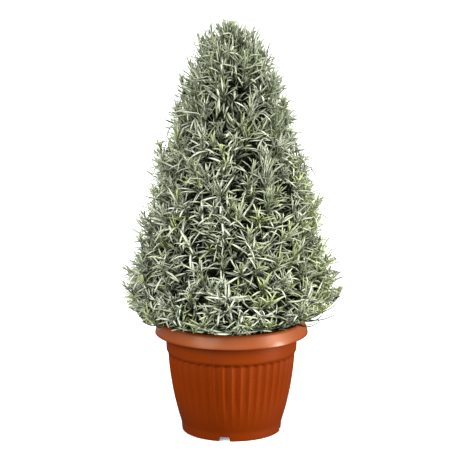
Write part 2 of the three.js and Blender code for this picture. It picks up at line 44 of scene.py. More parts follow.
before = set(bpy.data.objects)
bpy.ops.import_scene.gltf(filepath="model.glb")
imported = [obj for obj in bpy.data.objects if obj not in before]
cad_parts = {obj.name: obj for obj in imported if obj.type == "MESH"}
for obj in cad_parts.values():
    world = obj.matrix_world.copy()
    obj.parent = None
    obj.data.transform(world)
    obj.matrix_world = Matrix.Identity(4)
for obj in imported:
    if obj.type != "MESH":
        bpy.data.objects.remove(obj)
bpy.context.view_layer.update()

UP = np.array([0.0, 0.0, 1.0])
ACROSS = np.array([1.0, 0.0, 0.0])

# ---- the frame's own layout, repeated here so that the fine pieces lie where its solids lie ----

SPRAY_COUNT = 51
GOLDEN_ANGLE = math.radians(137.508)
SWAY_DEGREES = 5
MAIN_LENGTH = 0.080
SHOOT_RISE = {"low_degrees": 8.0, "high_degrees": 90.0, "power": 0.62}
SHOOT_CURL = math.radians(30)
FORK = 0.34
SIDES = [{"offset": 0.035, "lag": 0.006}, {"offset": 0.029, "lag": 0.019}]
SIDE_BEND = {"along": 0.28, "out": 0.42}
TIP_INSET = 0.014
TIP_TUFT = 0.027
TUFT_SHARE = 0.85
ROOM_COST = 3
TURN_CHOICES = 32
POT_HEIGHT = 0.177
LIMB_STEP = 0.006

LEADER = {
    "heights": [0.140, 0.168, 0.205, 0.285, 0.370, 0.455, 0.532],
    "radii": [0.0075, 0.0075, 0.0054, 0.0045, 0.0037, 0.0029, 0.0022],
    "upright": 2,
    "sway": 0.005,
}
STEM = {
    "count": 6,
    "heights": [0.172, 0.198, 0.255, 0.340, 0.430],
    "reach": [0.0, 0.022, 0.042, 0.044, 0.033],
    "radii": [0.0038, 0.0036, 0.0032, 0.0027, 0.0021],
    "rise": 0.001,
    "sway_degrees": 7,
}
TWIG = {
    "radius": 0.0019,
    "taper": (1.3, 0.8),
    "spacing": 0.009,
    "places": 9,
    "sides": 8,
    "bend": 0.45,
    "overlap": 0.004,
    "turn": 0.6,
    "turn_cost": 0.025,
    "below": 0.008,
    "fall_cost": 2,
}


# ---- settings ----


def size_value(name, description, default, **limits):
    return bpy.props.FloatProperty(
        name=name, description=description, default=default, unit="LENGTH", precision=4, **limits
    )


def angle_value(name, description, degrees):
    return bpy.props.FloatProperty(
        name=name, description=description, default=math.radians(degrees), subtype="ANGLE", unit="ROTATION"
    )


def light_value(name, description, default):
    return bpy.props.FloatProperty(name=name, description=description, default=default, min=0)


def colour_value(name, description, default):
    return bpy.props.FloatVectorProperty(
        name=name, description=description, default=default, size=3, min=0, max=1, subtype="COLOR"
    )


def count_value(name, description, default):
    return bpy.props.IntProperty(name=name, description=description, default=default, min=1)


class PotSettings(bpy.types.PropertyGroup):
    """Sizes and colour of the pot."""

    height: size_value("Height", "From the surface it stands on to the top of the rim", POT_HEIGHT)
    collar: size_value("Collar radius", "Radius at the collar's lower edge", 0.120)
    collar_drop: size_value("Collar drop", "From the rim down to the collar's lower edge", 0.0207)
    rim: size_value("Rim radius", "Outer radius at the top of the rim", 0.112)
    rim_inner: size_value("Inner rim radius", "Radius of the mouth", 0.107)
    band: size_value("Band radius", "Radius at the top of the plain band under the collar", 0.1038)
    band_taper: size_value("Band taper", "How much narrower the band's lower edge is", 0.0016)
    band_foot: size_value("Band foot", "Height of the band's lower edge", 0.130)
    foot: size_value("Foot radius", "Outer radius of the foot ring", 0.0776)
    foot_wall: size_value("Foot ring", "Thickness of the foot ring", 0.0045)
    floor: size_value("Floor height", "Height of the underside of the floor", 0.009)
    wall: size_value("Wall", "Thickness of the floor", 0.0025)
    flutes: count_value("Flutes", "Number of hollow flutes round the body", 44)
    flute_depth: size_value("Flute depth", "Depth of a flute at its middle", 0.0031)
    notch_width: size_value("Notch width", "Width of a drain notch in the foot ring", 0.016)
    notch_height: size_value("Notch height", "Height of a drain notch", 0.007)
    notch_turn: angle_value("Notch turn", "Angle of the first notch round the axis", -98.3)
    drain: size_value("Drain hole", "Radius of a drain hole in the floor", 0.005)
    drain_ring: size_value("Drain ring", "Radius of the circle that the drain holes lie on", 0.052)
    drains: count_value("Drain holes", "Number of drain holes", 6)
    colour: colour_value("Colour", "Colour of the plastic", (0.158, 0.0195, 0.0002))
    # Painted light: the lighter colour painted on the collar, and a little on the band, where light from
    # above falls.
    painted_light_colour: colour_value("Bleached colour", "Colour of the sunned collar", (0.205, 0.0425, 0.0085))


class MixSettings(bpy.types.PropertyGroup):
    """Sizes and colour of the potting mix."""

    top: size_value("Top", "Height of its surface", 0.164)
    lump: size_value("Lump", "Height of its lumps", 0.0022)
    crumbs: count_value("Crumbs", "Number of loose crumbs and bark chips", 900)
    crumb: size_value("Crumb size", "Radius of a middling crumb", 0.0022)
    colour: colour_value("Colour", "Colour of the damp mix", (0.030, 0.021, 0.014))


class WoodSettings(bpy.types.PropertyGroup):
    """Colours of the bark."""

    colour: colour_value("Colour", "Colour of the bark", (0.120, 0.085, 0.055))
    crack: colour_value("Crack colour", "Colour in the bark's cracks", (0.030, 0.020, 0.013))
    limb_sides: count_value("Limb sides", "Faces round a limb", 14)


class FoliageSettings(bpy.types.PropertyGroup):
    """How many shoots there are, and the size and colours of their leaves."""

    fill_shoots: count_value("Extra shoots", "Shoots placed between those of the frame", 800)
    top_shoots: count_value("Top shoots", "Shoots that round off the top", 36)
    inner_shoots: count_value("Inner shoots", "Short old shoots in the shade inside the crown", 520)
    leaf_length: size_value("Leaf length", "Length of a full-grown leaf", 0.0365)
    leaf_width: size_value("Leaf width", "Width of a full-grown leaf", 0.0032)
    stem_radius: size_value("Shoot radius", "Radius of a shoot at its base", 0.0013)
    silver: colour_value("Silver", "Colour of the felt on old leaves", (0.645, 0.690, 0.590))
    green: colour_value("Green", "Colour of a leaf under its felt", (0.082, 0.112, 0.020))
    young: colour_value("Young", "Colour of the growing tips", (0.330, 0.390, 0.130))
    # Painted shade: the near-black colour painted on leaves and stalks deep inside the crown.
    painted_shade: colour_value("Shaded", "Colour of the old leaves inside the crown", (0.009, 0.011, 0.002))
    # A green shoot's colour, kept darker than a lit shoot's in part as painted shade among the leaves.
    stalk: colour_value("Stalk", "Colour of a green shoot", (0.120, 0.150, 0.065))
    woody: colour_value("Woody stalk", "Colour of a shoot where it turns to wood", (0.110, 0.075, 0.045))


class StageSettings(bpy.types.PropertyGroup):
    """Camera, floor and lights."""

    distance: size_value("Camera distance", "From the aim point, along the floor", 2.985)
    rise: size_value("Camera height", "Height of the camera above the floor", 0.895)
    aim_height: size_value("Aim height", "Height of the point in the picture's middle", 0.3232)
    aside: size_value("Aim aside", "The picture's middle along X", -0.007)
    lens: bpy.props.FloatProperty(name="Lens", description="Focal length in millimetres", default=155.2)
    floor: size_value("Floor", "Half the floor's width", 30.0)
    white: colour_value("Floor colour", "Colour of the pale floor", (0.90, 0.90, 0.90))
    floor_glow: light_value("Floor glow", "Light that the floor itself gives, as a lit table does", 0.30)
    ground_glow: light_value("Glow from below", "Brightness of the studio below the horizon", 0.05)
    ring_glow: light_value("Glow all around", "Brightness of the ring of softboxes above the horizon", 1.00)
    sky_glow: light_value("Glow overhead", "Brightness of the studio's ceiling", 0.40)
    left_light: light_value("Left light", "Strength of the left lamp", 3.9)
    right_light: light_value("Right light", "Strength of the right lamp", 2.5)
    strip_light: light_value("Strip light", "Strength of the low lamp on the right", 4.2)
    front_light: light_value("Front light", "Strength of the low lamp beside the camera", 0.6)
    back_light: light_value("Back light", "Strength of the lamp behind the plant", 1.7)
    top_light: light_value("Top light", "Strength of the top lamp", 0.3)


# ---- draws and directions ----


def draw(index, channel):
    """A repeatable draw from 0 to 1: the part after the point of a large multiple of a sine."""
    value = np.sin(np.asarray(index) * 12.9898 + channel * 78.233) * 43758.5453
    return value - np.floor(value)


def spread(index, channel, reach):
    """A repeatable draw from -reach to reach."""
    return (2 * draw(index, channel) - 1) * reach


def unit(vectors):
    return vectors / np.linalg.norm(vectors, axis=-1, keepdims=True)


def dot(a, b):
    return np.sum(a * b, axis=-1, keepdims=True)


def polar(radius, angle, height):
    """Points at a radius and an angle round the pot's axis, and at a height."""
    return np.stack(np.broadcast_arrays(radius * np.cos(angle), radius * np.sin(angle), height), axis=-1)


def heading(azimuth, elevation):
    return polar(np.cos(elevation), azimuth, np.sin(elevation))


def smooth(value, low, high):
    """0 below low and 1 above high, with an even curve between: 3t^2 - 2t^3."""
    t = np.clip((value - low) / (high - low), 0, 1)
    return t * t * (3 - 2 * t)


def bezier(axis, t):
    """Point t of a parabola through its first and last point, drawn towards its middle one.

    axis ends in (3 points, 3 coordinates), and t has the shape of what comes before.
    """
    t = np.asarray(t)[..., None]
    return (1 - t) ** 2 * axis[..., 0, :] + 2 * t * (1 - t) * axis[..., 1, :] + t * t * axis[..., 2, :]


def bezier_way(axis, t):
    """Direction at t, from two points close to it."""
    step = 1e-4
    t = np.asarray(t, float)
    return unit(bezier(axis, np.minimum(t + step, 1)) - bezier(axis, np.maximum(t - step, 0)))


def waves(points, scale, seed, octaves=4):
    """Smooth lumps from about -1 to 1: sine waves in drawn directions, each octave finer and weaker."""
    rng = np.random.default_rng(seed)
    total = np.zeros(points.shape[:-1])
    weight = 0.0
    for octave in range(octaves):
        for _ in range(4):
            way = unit(rng.normal(size=3)) * 2 * math.pi / (scale / 1.9**octave)
            share = 0.6**octave
            total += share * np.sin(points @ way + rng.uniform(0, 2 * math.pi))
            weight += share
    return total / weight * 2


# ---- the crown's outline and its shoots ----


class Crown:
    """The clipped outline, as a radius for each height, and the measures that follow from it."""

    foot = 0.188
    wide = 0.236
    top = 0.644
    reach = 0.167
    bow = 0.72
    power = 0.42
    tuck = 5.0
    skirt_top = 0.265
    skirt_weight = 1.4
    dip = 0.009
    dip_start, dip_full = 0.42, 0.50
    dip_end, dip_left, dip_share = 0.59, 0.62, 0.4
    narrow_start, narrow_end, narrow_weight = 0.44, 0.60, 0.15
    step = 0.001

    @classmethod
    def radius(cls, z):
        """A parabola below the widest height, and above it reach * (1 - rise^bow)^power."""
        below = cls.reach - cls.tuck * (cls.wide - z) ** 2
        rise = np.clip((z - cls.wide) / (cls.top - cls.wide), 0, 1)
        return np.where(z < cls.wide, below, cls.reach * (1 - rise**cls.bow) ** cls.power)

    @classmethod
    def even_heights(cls, count, first=foot, last=top):
        """Heights from first to last that share the outline's area out evenly among count places."""
        steps = round((last - first) / cls.step)
        z = first + cls.step * np.arange(steps)
        drop = (cls.radius(z) - cls.radius(z + cls.step)) / cls.step
        weight = np.where(z < cls.skirt_top - cls.step / 2, cls.skirt_weight, 1.0)
        rings = weight * cls.radius(z + cls.step / 2) * np.hypot(1, drop)
        sums = np.concatenate([[0.0], np.cumsum(rings)])
        wanted = (np.arange(count) + 0.5) / (count - 0.5) * sums[-1]
        return first + cls.step * np.interp(wanted, sums, np.arange(len(sums)))

    @classmethod
    def depth(cls, points):
        """How far points lie inside the outline, square to it; leaves and stalks are painted darker by it,
        as painted shade. It counts a little more near the top, where that painted shade is stronger.
        """
        z = np.minimum(points[..., 2], cls.top - 2 * cls.step)
        slope = (cls.radius(z + cls.step) - cls.radius(z - cls.step)) / (2 * cls.step)
        inside = cls.radius(z) - cls.waist(z) - np.hypot(points[..., 0], points[..., 1])
        narrow = smooth(z, cls.narrow_start, cls.narrow_end)
        return inside / np.hypot(1, slope) * (1 + cls.narrow_weight * narrow)

    @classmethod
    def waist(cls, z):
        """How much less the fine leaves reach out below the top, where the clipping dips in."""
        left = cls.dip_share * smooth(z, cls.dip_end, cls.dip_left)
        return cls.dip * (smooth(z, cls.dip_start, cls.dip_full) - left)

    @classmethod
    def tip_elevation(cls, z):
        """Low shoots grow outward, high ones upward."""
        rise = np.clip((z - cls.foot) / (cls.top - cls.foot), 0, 1) ** SHOOT_RISE["power"]
        low, high = SHOOT_RISE["low_degrees"], SHOOT_RISE["high_degrees"]
        return np.radians(low + (high - low) * rise)


def main_axis(k, z):
    """A main shoot: two straight halves of its length, smoothed into a parabola that curls up."""
    azimuth = k * GOLDEN_ANGLE + math.radians(spread(k, 1, SWAY_DEGREES))
    elevation = Crown.tip_elevation(z)
    tip_way = heading(azimuth, elevation)
    base_way = heading(azimuth, max(0.0, elevation - SHOOT_CURL))
    tip = polar(Crown.radius(z), azimuth, z) - TUFT_SHARE * TIP_TUFT * tip_way
    bend = tip - MAIN_LENGTH / 2 * tip_way
    return np.array([bend - MAIN_LENGTH / 2 * base_way, bend, tip])


def side_axes(main, side, turns):
    """Side shoots that leave the main one at its fork, one for each turn round the main shoot's tip."""
    start, along, tip_way = bezier(main, FORK), bezier_way(main, FORK), bezier_way(main, 1)
    level = unit(np.cross(UP, tip_way))
    rise = unit(np.cross(tip_way, level))
    offset = level * np.cos(turns)[:, None] + rise * np.sin(turns)[:, None]
    tip = main[2] + offset * side["offset"] - tip_way * side["lag"]
    reach = np.linalg.norm(tip - start, axis=-1, keepdims=True)
    bend = start + along * reach * SIDE_BEND["along"] + offset * reach * SIDE_BEND["out"]
    return np.stack([np.broadcast_to(start, tip.shape), bend, tip], axis=1)


def tip_room(tips, others):
    """Free room round each tip, less a few times what it lacks to the outline and to the pot."""
    room = np.linalg.norm(tips[:, None] - others, axis=-1).min(axis=1)
    inside = Crown.radius(tips[:, 2]) - np.hypot(tips[:, 0], tips[:, 1]) - TIP_INSET
    above = tips[:, 2] - POT_HEIGHT - TIP_INSET
    return room + ROOM_COST * np.minimum(0, np.minimum(inside, above))


def lay_out_sprays():
    """The frame's shoots: for each spray the axes of its main shoot and of its two side shoots.

    The main shoots stand a golden angle apart at even heights. Each pair of side shoots turns to where
    the nearest other tips are farthest away.
    """
    mains = [main_axis(k, z) for k, z in enumerate(Crown.even_heights(SPRAY_COUNT))]
    tips = [axis[2] for axis in mains]
    choice = np.arange(TURN_CHOICES)
    turns = choice / TURN_CHOICES * 2 * math.pi
    second_turns = turns + np.where(choice % 2 == 0, 1, -1) * 2 * math.pi / 3
    sprays = []
    for k, main in enumerate(mains):
        others = np.array(tips[:k] + tips[k + 1 :])
        first = side_axes(main, SIDES[0], turns)
        second = side_axes(main, SIDES[1], second_turns)
        best = int(np.argmax(tip_room(first[:, 2], others) + tip_room(second[:, 2], others)))
        tips += [first[best, 2], second[best, 2]]
        sprays.append(np.array([main, first[best], second[best]]))
    return np.array(sprays)


# More kinds of shoots. Their tips lie between two insets from the outline, most of them near the first,
# and a share of them strays past it. They stand between two heights, given as shares of the crown's.
OUTER = {
    "channel": 20, "heights": (0.0, 0.97), "insets": (0.003, 0.028), "skew": 1.2, "stray": 0.14,
    "rise": 0.30, "sway": 0.55, "length": 0.064, "clear": 0.006, "aside": 0.0,
}
TOP = {
    "channel": 60, "heights": (0.80, 0.99), "insets": (0.002, 0.024), "skew": 1.0, "stray": 0.15,
    "rise": 0.0, "sway": 0.40, "length": 0.060, "clear": 0.006, "aside": -0.009,
}
INNER = {
    "channel": 40, "heights": (0.0, 0.95), "insets": (0.024, 0.115), "skew": 1.0, "stray": 0.0,
    "rise": 0.25, "sway": 0.60, "length": 0.050, "clear": 0.004, "aside": 0.0,
}
# What these kinds share. The top is thinned out between two heights.
MORE = {
    "height_sway": 0.006, "azimuth_sway": 0.16, "way_sway": 0.7, "elevations": (0.05, 1.52),
    "under_top": 0.006, "least_radius": 0.25, "stray": 0.012, "thinned": 0.4, "thin_heights": (0.50, 0.60),
    "bend": 0.5, "bend_cost": 0.030, "tip_cost": 0.020,
}


def shoot_sources(sprays, twigs):
    """Places that a shoot may grow from, on the main shoots and the twigs: point, direction and spray."""
    forks = np.linspace(0.02, 0.72, 9)
    places = np.tile(forks, len(sprays))
    mains = np.repeat(sprays[:, 0], len(forks), axis=0)
    rows = np.array([2, 4, 6])
    twig_ways = unit(np.gradient(twigs, axis=1))[:, rows].reshape(-1, 3)
    points = np.concatenate([bezier(mains, places), twigs[:, rows].reshape(-1, 3)])
    ways = np.concatenate([bezier_way(mains, places), twig_ways])
    number = np.arange(len(sprays))
    return points, ways, np.concatenate([np.repeat(number, len(forks)), np.repeat(number, len(rows))])


def more_shoots(sources, taken, count, kind):
    """More shoots of a kind. Returns their axes and each one's spray.

    Their tips stand a golden angle apart at even heights, clear of the tips taken before, and sparser
    near the top. Each grows from the place that it reaches with the least bending, at its kind's length.
    """
    index = np.arange(count)
    channel = kind["channel"]
    low, high = kind["insets"]
    first, last = Crown.foot + (Crown.top - Crown.foot) * np.array(kind["heights"])
    z = Crown.even_heights(count, first, last) + spread(index, channel + 1, MORE["height_sway"])
    z = np.clip(z, Crown.foot, Crown.top - MORE["under_top"])
    azimuth = index * GOLDEN_ANGLE + channel + spread(index, channel + 2, MORE["azimuth_sway"])
    inset = low + (high - low) * draw(index, channel + 3) ** kind["skew"]
    inset += Crown.waist(z) - MORE["stray"] * (draw(index, channel + 4) < kind["stray"])
    elevation = Crown.tip_elevation(z) + kind["rise"] + spread(index, channel + 5, kind["sway"])
    elevation = np.clip(elevation, *MORE["elevations"])
    way = heading(azimuth + spread(index, channel + 6, MORE["way_sway"]) * np.cos(elevation), elevation)
    radius = Crown.radius(z)
    tips = polar(np.maximum(radius - inset, MORE["least_radius"] * radius), azimuth, z)
    tips = tips + kind["aside"] * ACROSS
    free = np.linalg.norm(tips[:, None] - taken, axis=-1).min(axis=1) > kind["clear"]
    free &= draw(index, channel + 7) > MORE["thinned"] * smooth(z, *MORE["thin_heights"])
    tips, way = tips[free], way[free]

    starts, along, owner = sources
    span = tips[:, None] - starts
    reach = np.linalg.norm(span, axis=-1)
    chord = span / reach[..., None]
    leave = np.arccos(np.clip(np.sum(chord * along, axis=-1), -1, 1))
    arrive = np.arccos(np.clip(np.sum(chord * way[:, None], axis=-1), -1, 1))
    bending = MORE["bend_cost"] * leave + MORE["tip_cost"] * arrive
    best = np.argmin(np.abs(reach - kind["length"]) + bending, axis=1)
    far = reach[np.arange(len(tips)), best][:, None]
    axes = np.stack([starts[best], tips - MORE["bend"] * far * way, tips], axis=1)
    return axes, owner[best]


# ---- meshes ----


def grid_quads(rows, columns):
    """Quads of a grid that closes round its columns."""
    row, column = np.divmod(np.arange((rows - 1) * columns), columns)
    after = (column + 1) % columns
    lower, upper = row * columns, (row + 1) * columns
    return np.stack([lower + column, lower + after, upper + after, upper + column], axis=1)


def fan(centre, ring):
    """Triangles from one point to a closed ring of points."""
    return np.stack([np.full(len(ring), centre), ring, np.roll(ring, -1)], axis=1)


def closed_body(points, poles):
    """A grid of points that closes round its columns, with a pole joined to each of its end rings.

    Returns all points, and their quads and triangles.
    """
    rows, columns = points.shape[:2]
    count, ring = rows * columns, np.arange(columns)
    ends = np.concatenate([fan(count, ring)[:, ::-1], fan(count + 1, count - columns + ring)])
    return np.concatenate([points.reshape(-1, 3), poles]), [grid_quads(rows, columns), ends]


def skin(stations, columns):
    """Faces of a closed skin of rings, each with the same number of columns, and its UV corners.

    Quads join each ring to the next, and two rows of quads or one close the ends. In the UV map the ends
    lie side by side in the row above the rings.
    """
    row, column = np.divmod(np.arange((stations - 1) * columns), columns)
    places = np.stack([column / columns, row / stations], axis=1)[:, None]
    corners = places + np.array([[0, 0], [1, 0], [1, 1], [0, 1]]) * [1 / columns, 1 / stations]
    cap = np.array([[0, 1, 2, 5], [2, 3, 4, 5]] if columns == 6 else [[0, 1, 2, 3]])
    width = 1 / (2 * len(cap))
    square = np.array([[0, 0], [0, 1], [1, 1], [1, 0]]) * [0.4 * width, 0.8 / stations]
    ends = [square + [(i + 0.1) * width, 1 - 1 / stations] for i in range(2 * len(cap))]
    quads = np.concatenate([grid_quads(stations, columns), cap[:, ::-1], cap + (stations - 1) * columns])
    return quads[:, ::-1], np.concatenate([corners, np.array(ends)])[:, ::-1]


def make_mesh(name, points, faces, material_index=None, uv=None):
    """A mesh from an array of points and a list of arrays of faces, each with one count of corners."""
    mesh = bpy.data.meshes.new(name)
    corners = np.concatenate([block.ravel() for block in faces]).astype(np.int32)
    counts = np.concatenate([np.full(len(block), block.shape[1]) for block in faces])
    starts = np.concatenate([[0], np.cumsum(counts)[:-1]]).astype(np.int32)
    mesh.vertices.add(len(points))
    mesh.vertices.foreach_set("co", np.asarray(points, np.float32).ravel())
    mesh.loops.add(len(corners))
    mesh.loops.foreach_set("vertex_index", corners)
    mesh.polygons.add(len(counts))
    mesh.polygons.foreach_set("loop_start", starts)
    mesh.polygons.foreach_set("use_smooth", np.ones(len(counts), bool))
    if material_index is not None:
        mesh.polygons.foreach_set("material_index", material_index.astype(np.int32))
    if uv is not None:
        layer = mesh.uv_layers.new(name="OFBake")
        layer.uv.foreach_set("vector", uv.astype(np.float32).ravel())
    mesh.update(calc_edges=True)
    return mesh


def add_values(mesh, name, values):
    """A number for each point, for the materials to read by its name."""
    attribute = mesh.attributes.new(name, "FLOAT", "POINT")
    attribute.data.foreach_set("value", np.asarray(values, np.float32).ravel())


def place(name, mesh, finishes, slot, *nodes):
    """Puts a mesh into the scene at the origin, riding on the root body in place of the frame's nodes."""
    piece = bpy.data.objects.new(name, mesh)
    bpy.context.scene.collection.objects.link(piece)
    for finish in finishes:
        mesh.materials.append(finish)
    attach(piece, "root")
    if nodes:
        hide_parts(*nodes)
    return piece


# ---- materials ----


class Wire:
    """A socket's value in a material. Arithmetic on it adds Math nodes."""

    def __init__(self, finish, socket):
        self.finish = finish
        self.socket = socket

    def math(self, operation, first, second, clamp=False):
        settings = {"operation": operation, "use_clamp": clamp}
        return self.finish.node("ShaderNodeMath", settings, {0: first, 1: second})

    def __add__(self, other):
        return self.math("ADD", self, other)

    def __sub__(self, other):
        return self.math("SUBTRACT", self, other)

    def __rsub__(self, other):
        return self.math("SUBTRACT", other, self)

    def __mul__(self, other):
        return self.math("MULTIPLY", self, other)

    __radd__ = __add__
    __rmul__ = __mul__

    def clamped(self):
        return self.math("ADD", self, 0.0, clamp=True)


class Tree:
    """A tree of shader nodes, and one way to add any node to it."""

    def __init__(self, tree):
        self.tree = tree

    def node(self, kind, settings=None, inputs=None, output=0):
        """Any node: its settings are set first, then its sockets take values or links."""
        node = self.tree.nodes.new(kind)
        for key, value in (settings or {}).items():
            setattr(node, key, value)
        for key, value in (inputs or {}).items():
            self.feed(node.inputs[key], value)
        return Wire(self, node.outputs[output])

    def feed(self, socket, value):
        if isinstance(value, Wire):
            self.tree.links.new(value.socket, socket)
        elif socket.type == "RGBA" and len(value) == 3:
            socket.default_value = (*value, 1)
        else:
            socket.default_value = value

    def steps(self, value, low, high, first=0.0, last=1.0):
        """first where the value is below low, last where it is above high, and a smooth change between."""
        inputs = {"Value": value, "From Min": low, "From Max": high, "To Min": first, "To Max": last}
        return self.node("ShaderNodeMapRange", {"interpolation_type": "SMOOTHSTEP"}, inputs)


class Finish(Tree):
    """One material: a Principled surface, and short ways to feed it."""

    def __init__(self, name, **constants):
        self.material = bpy.data.materials.new(name)
        self.material.use_nodes = True
        super().__init__(self.material.node_tree)
        self.surface = self.tree.nodes["Principled BSDF"]
        for socket, value in constants.items():
            self.surface.inputs[socket.replace("_", " ")].default_value = value
        self.place = self.node("ShaderNodeTexCoord", output="Object")

    def noise(self, scale, detail=3.0, roughness=0.55, where=None):
        inputs = {"Vector": where or self.place, "Scale": scale, "Detail": detail, "Roughness": roughness}
        return self.node("ShaderNodeTexNoise", None, inputs, "Fac")

    def stretched(self, factors):
        settings = {"vector_type": "POINT"}
        return self.node("ShaderNodeMapping", settings, {"Vector": self.place, "Scale": factors})

    def value(self, name):
        """A number that the piece's points carry."""
        settings = {"attribute_type": "GEOMETRY", "attribute_name": name}
        return self.node("ShaderNodeAttribute", settings, None, "Fac")

    def mix(self, factor, first, second):
        """The first colour at factor 0, the second at 1."""
        inputs = {0: factor, 6: first, 7: second}
        return self.node("ShaderNodeMix", {"data_type": "RGBA", "clamp_factor": True}, inputs, 2)

    def bump(self, height, strength, distance):
        inputs = {"Height": height, "Strength": strength, "Distance": distance}
        self.feed(self.surface.inputs["Normal"], self.node("ShaderNodeBump", None, inputs, "Normal"))

    def colour(self, value):
        self.feed(self.surface.inputs["Base Color"], value)

    def roughness(self, value):
        self.feed(self.surface.inputs["Roughness"], value)

    def coat(self, value):
        self.feed(self.surface.inputs["Coat Weight"], value)


def lighter(colour, factor):
    return tuple(min(1.0, channel * factor) for channel in colour)


# Depths inside the crown's outline where the painted shade on leaves and stalks begins, and where it is
# full.
SHADE = {"from": 0.008, "to": 0.034, "most": 0.98}
# The pot's foot is darkened as painted shade up to between two heights. The painted light that lightens the
# band and the collar begins at a height, and is full this far below the rim.
FOOT_SHADE_TOP = (0.010, 0.085)
PAINTED_LIGHT_FOOT = 0.095
PAINTED_LIGHT_DROP = 0.016


def plastic_finish(settings):
    """Satin moulded plastic: faint clouds and upright streaks in the colour, and a fine grain.

    The foot is darker, as painted shade. The band and the collar are painted lighter, as painted light
    from above; the collar is also less smooth and has a little more coat.
    """
    finish = Finish(
        "terracotta_plastic", IOR=1.45, Specular_Tint=(1, 0.6, 0.35, 1), Coat_Roughness=0.24
    )
    cloud = finish.noise(scale=14, detail=2)
    streak = finish.noise(scale=1, detail=3, where=finish.stretched((60, 60, 7)))
    base = settings.colour
    tone = finish.mix(cloud, lighter(base, 0.93), lighter(base, 1.07))
    tone = finish.mix(finish.steps(streak, 0.55, 0.80) * 0.08, tone, lighter(base, 1.25))
    height = finish.node("ShaderNodeSeparateXYZ", None, {0: finish.place}, "Z")
    # Painted shade: the pot is darker towards its foot.
    foot_shade = 0.75 * (1 - finish.steps(height, *FOOT_SHADE_TOP))
    tone = finish.mix(foot_shade, tone, lighter(base, 0.78))
    # Painted light: the collar, and a little the band above the flutes, are painted a lighter colour.
    collar = finish.steps(height, settings.height - settings.collar_drop, settings.height - PAINTED_LIGHT_DROP)
    painted_light = 0.10 * finish.steps(height, PAINTED_LIGHT_FOOT, settings.band_foot) + 0.90 * collar
    finish.colour(finish.mix(painted_light, tone, settings.painted_light_colour))
    finish.coat(0.05 + 0.05 * collar)
    grain = finish.noise(scale=950, detail=2)
    finish.roughness(0.27 + 0.08 * cloud + 0.06 * grain + 0.14 * collar)
    waver = finish.noise(scale=34, detail=2)
    finish.bump(grain * 0.12 + waver, strength=0.16, distance=0.0009)
    return finish.material


def mix_finish(settings):
    """Damp potting mix: dark peat with paler fibres and specks."""
    finish = Finish("damp_potting_mix")
    clod = finish.noise(scale=160, detail=6, roughness=0.7)
    fibre = finish.noise(scale=1, detail=3, where=finish.stretched((700, 240, 400)))
    base = settings.colour
    dark = finish.mix(finish.steps(clod, 0.30, 0.72), lighter(base, 0.45), lighter(base, 1.7))
    finish.colour(finish.mix(finish.steps(fibre, 0.62, 0.74) * 0.7, dark, (0.13, 0.085, 0.05)))
    finish.roughness(0.98 - 0.18 * finish.steps(clod, 0.35, 0.55))
    finish.bump(clod + 0.5 * fibre, strength=0.9, distance=0.003)
    return finish.material


def bark_finish(settings):
    """Grey-brown flaky bark: long upright cracks between paler plates."""
    finish = Finish("flaky_bark")
    plates = finish.noise(scale=1, detail=5, roughness=0.65, where=finish.stretched((420, 420, 70)))
    patches = finish.noise(scale=60, detail=3)
    flake = finish.steps(plates, 0.42, 0.60)
    base = finish.mix(patches, lighter(settings.colour, 0.75), lighter(settings.colour, 1.35))
    finish.colour(finish.mix(flake, settings.crack, base))
    finish.roughness(0.95 - 0.15 * flake)
    finish.bump(flake + 0.4 * plates, strength=0.8, distance=0.0012)
    return finish.material


def leaf_finish(settings):
    """Leaf with a felt of fine hairs.

    The points carry tone, a draw for each leaf; youth, 1 on a growing tip; along, 0 at the leaf's foot
    and 1 at its tip; under, 1 beneath, where the felt is thickest; edge, 1 on the rolled edge; and depth,
    in metres inside the outline. Felt hides the green, less so on young leaves. The felt is worn thin near
    the tip, and is thinned at the edges as painted shade. The foot and the edges are painted dark green as
    painted shade, and leaves deep inside the outline are painted near black as painted shade.
    """
    finish = Finish(
        "silver_leaf_felt", Specular_IOR_Level=0.12, Sheen_Weight=0.03, Sheen_Roughness=0.45
    )
    names = ("tone", "youth", "along", "under", "edge", "depth")
    tone, youth, along, under, edge, depth = (finish.value(name) for name in names)
    fuzz = finish.noise(scale=520, detail=4, roughness=0.7)
    patch = finish.noise(scale=95, detail=2)
    # The felt is worn thin near the tip; at the rolled edges it is thinned as painted shade.
    tip_wear_and_edge_shade = 0.55 * edge + 0.40 * finish.steps(along, 0.72, 1.0)
    felt = (0.32 + 0.66 * tone + 0.34 * patch + 0.25 * under + 0.30 * (fuzz - 0.5) - tip_wear_and_edge_shade).clamped()
    old = finish.mix(felt, settings.green, settings.silver)
    fresh = finish.mix(felt, settings.young, lighter(settings.young, 1.2))
    # Dark green painted at the leaf's foot and its edges as painted shade.
    shade_green = lighter(settings.green, 0.5)
    leaf = finish.mix(youth, old, fresh)
    # Painted shade: the leaf's foot, among the other leaves, and its rolled edges are painted dark green.
    leaf = finish.mix(0.85 * (1 - finish.steps(along, 0.0, 0.42)), leaf, shade_green)
    leaf = finish.mix(0.75 * finish.steps(edge, 0.30, 0.90), leaf, shade_green)
    # Painted shade: leaves deep inside the crown's outline are painted near black.
    shade = finish.steps(depth + 0.016 * (patch - 0.5), SHADE["from"], SHADE["to"])
    finish.colour(finish.mix(shade * SHADE["most"], leaf, settings.painted_shade))
    finish.roughness(0.62 + 0.30 * felt)
    finish.bump(fuzz, strength=0.35, distance=0.0003)
    return finish.material


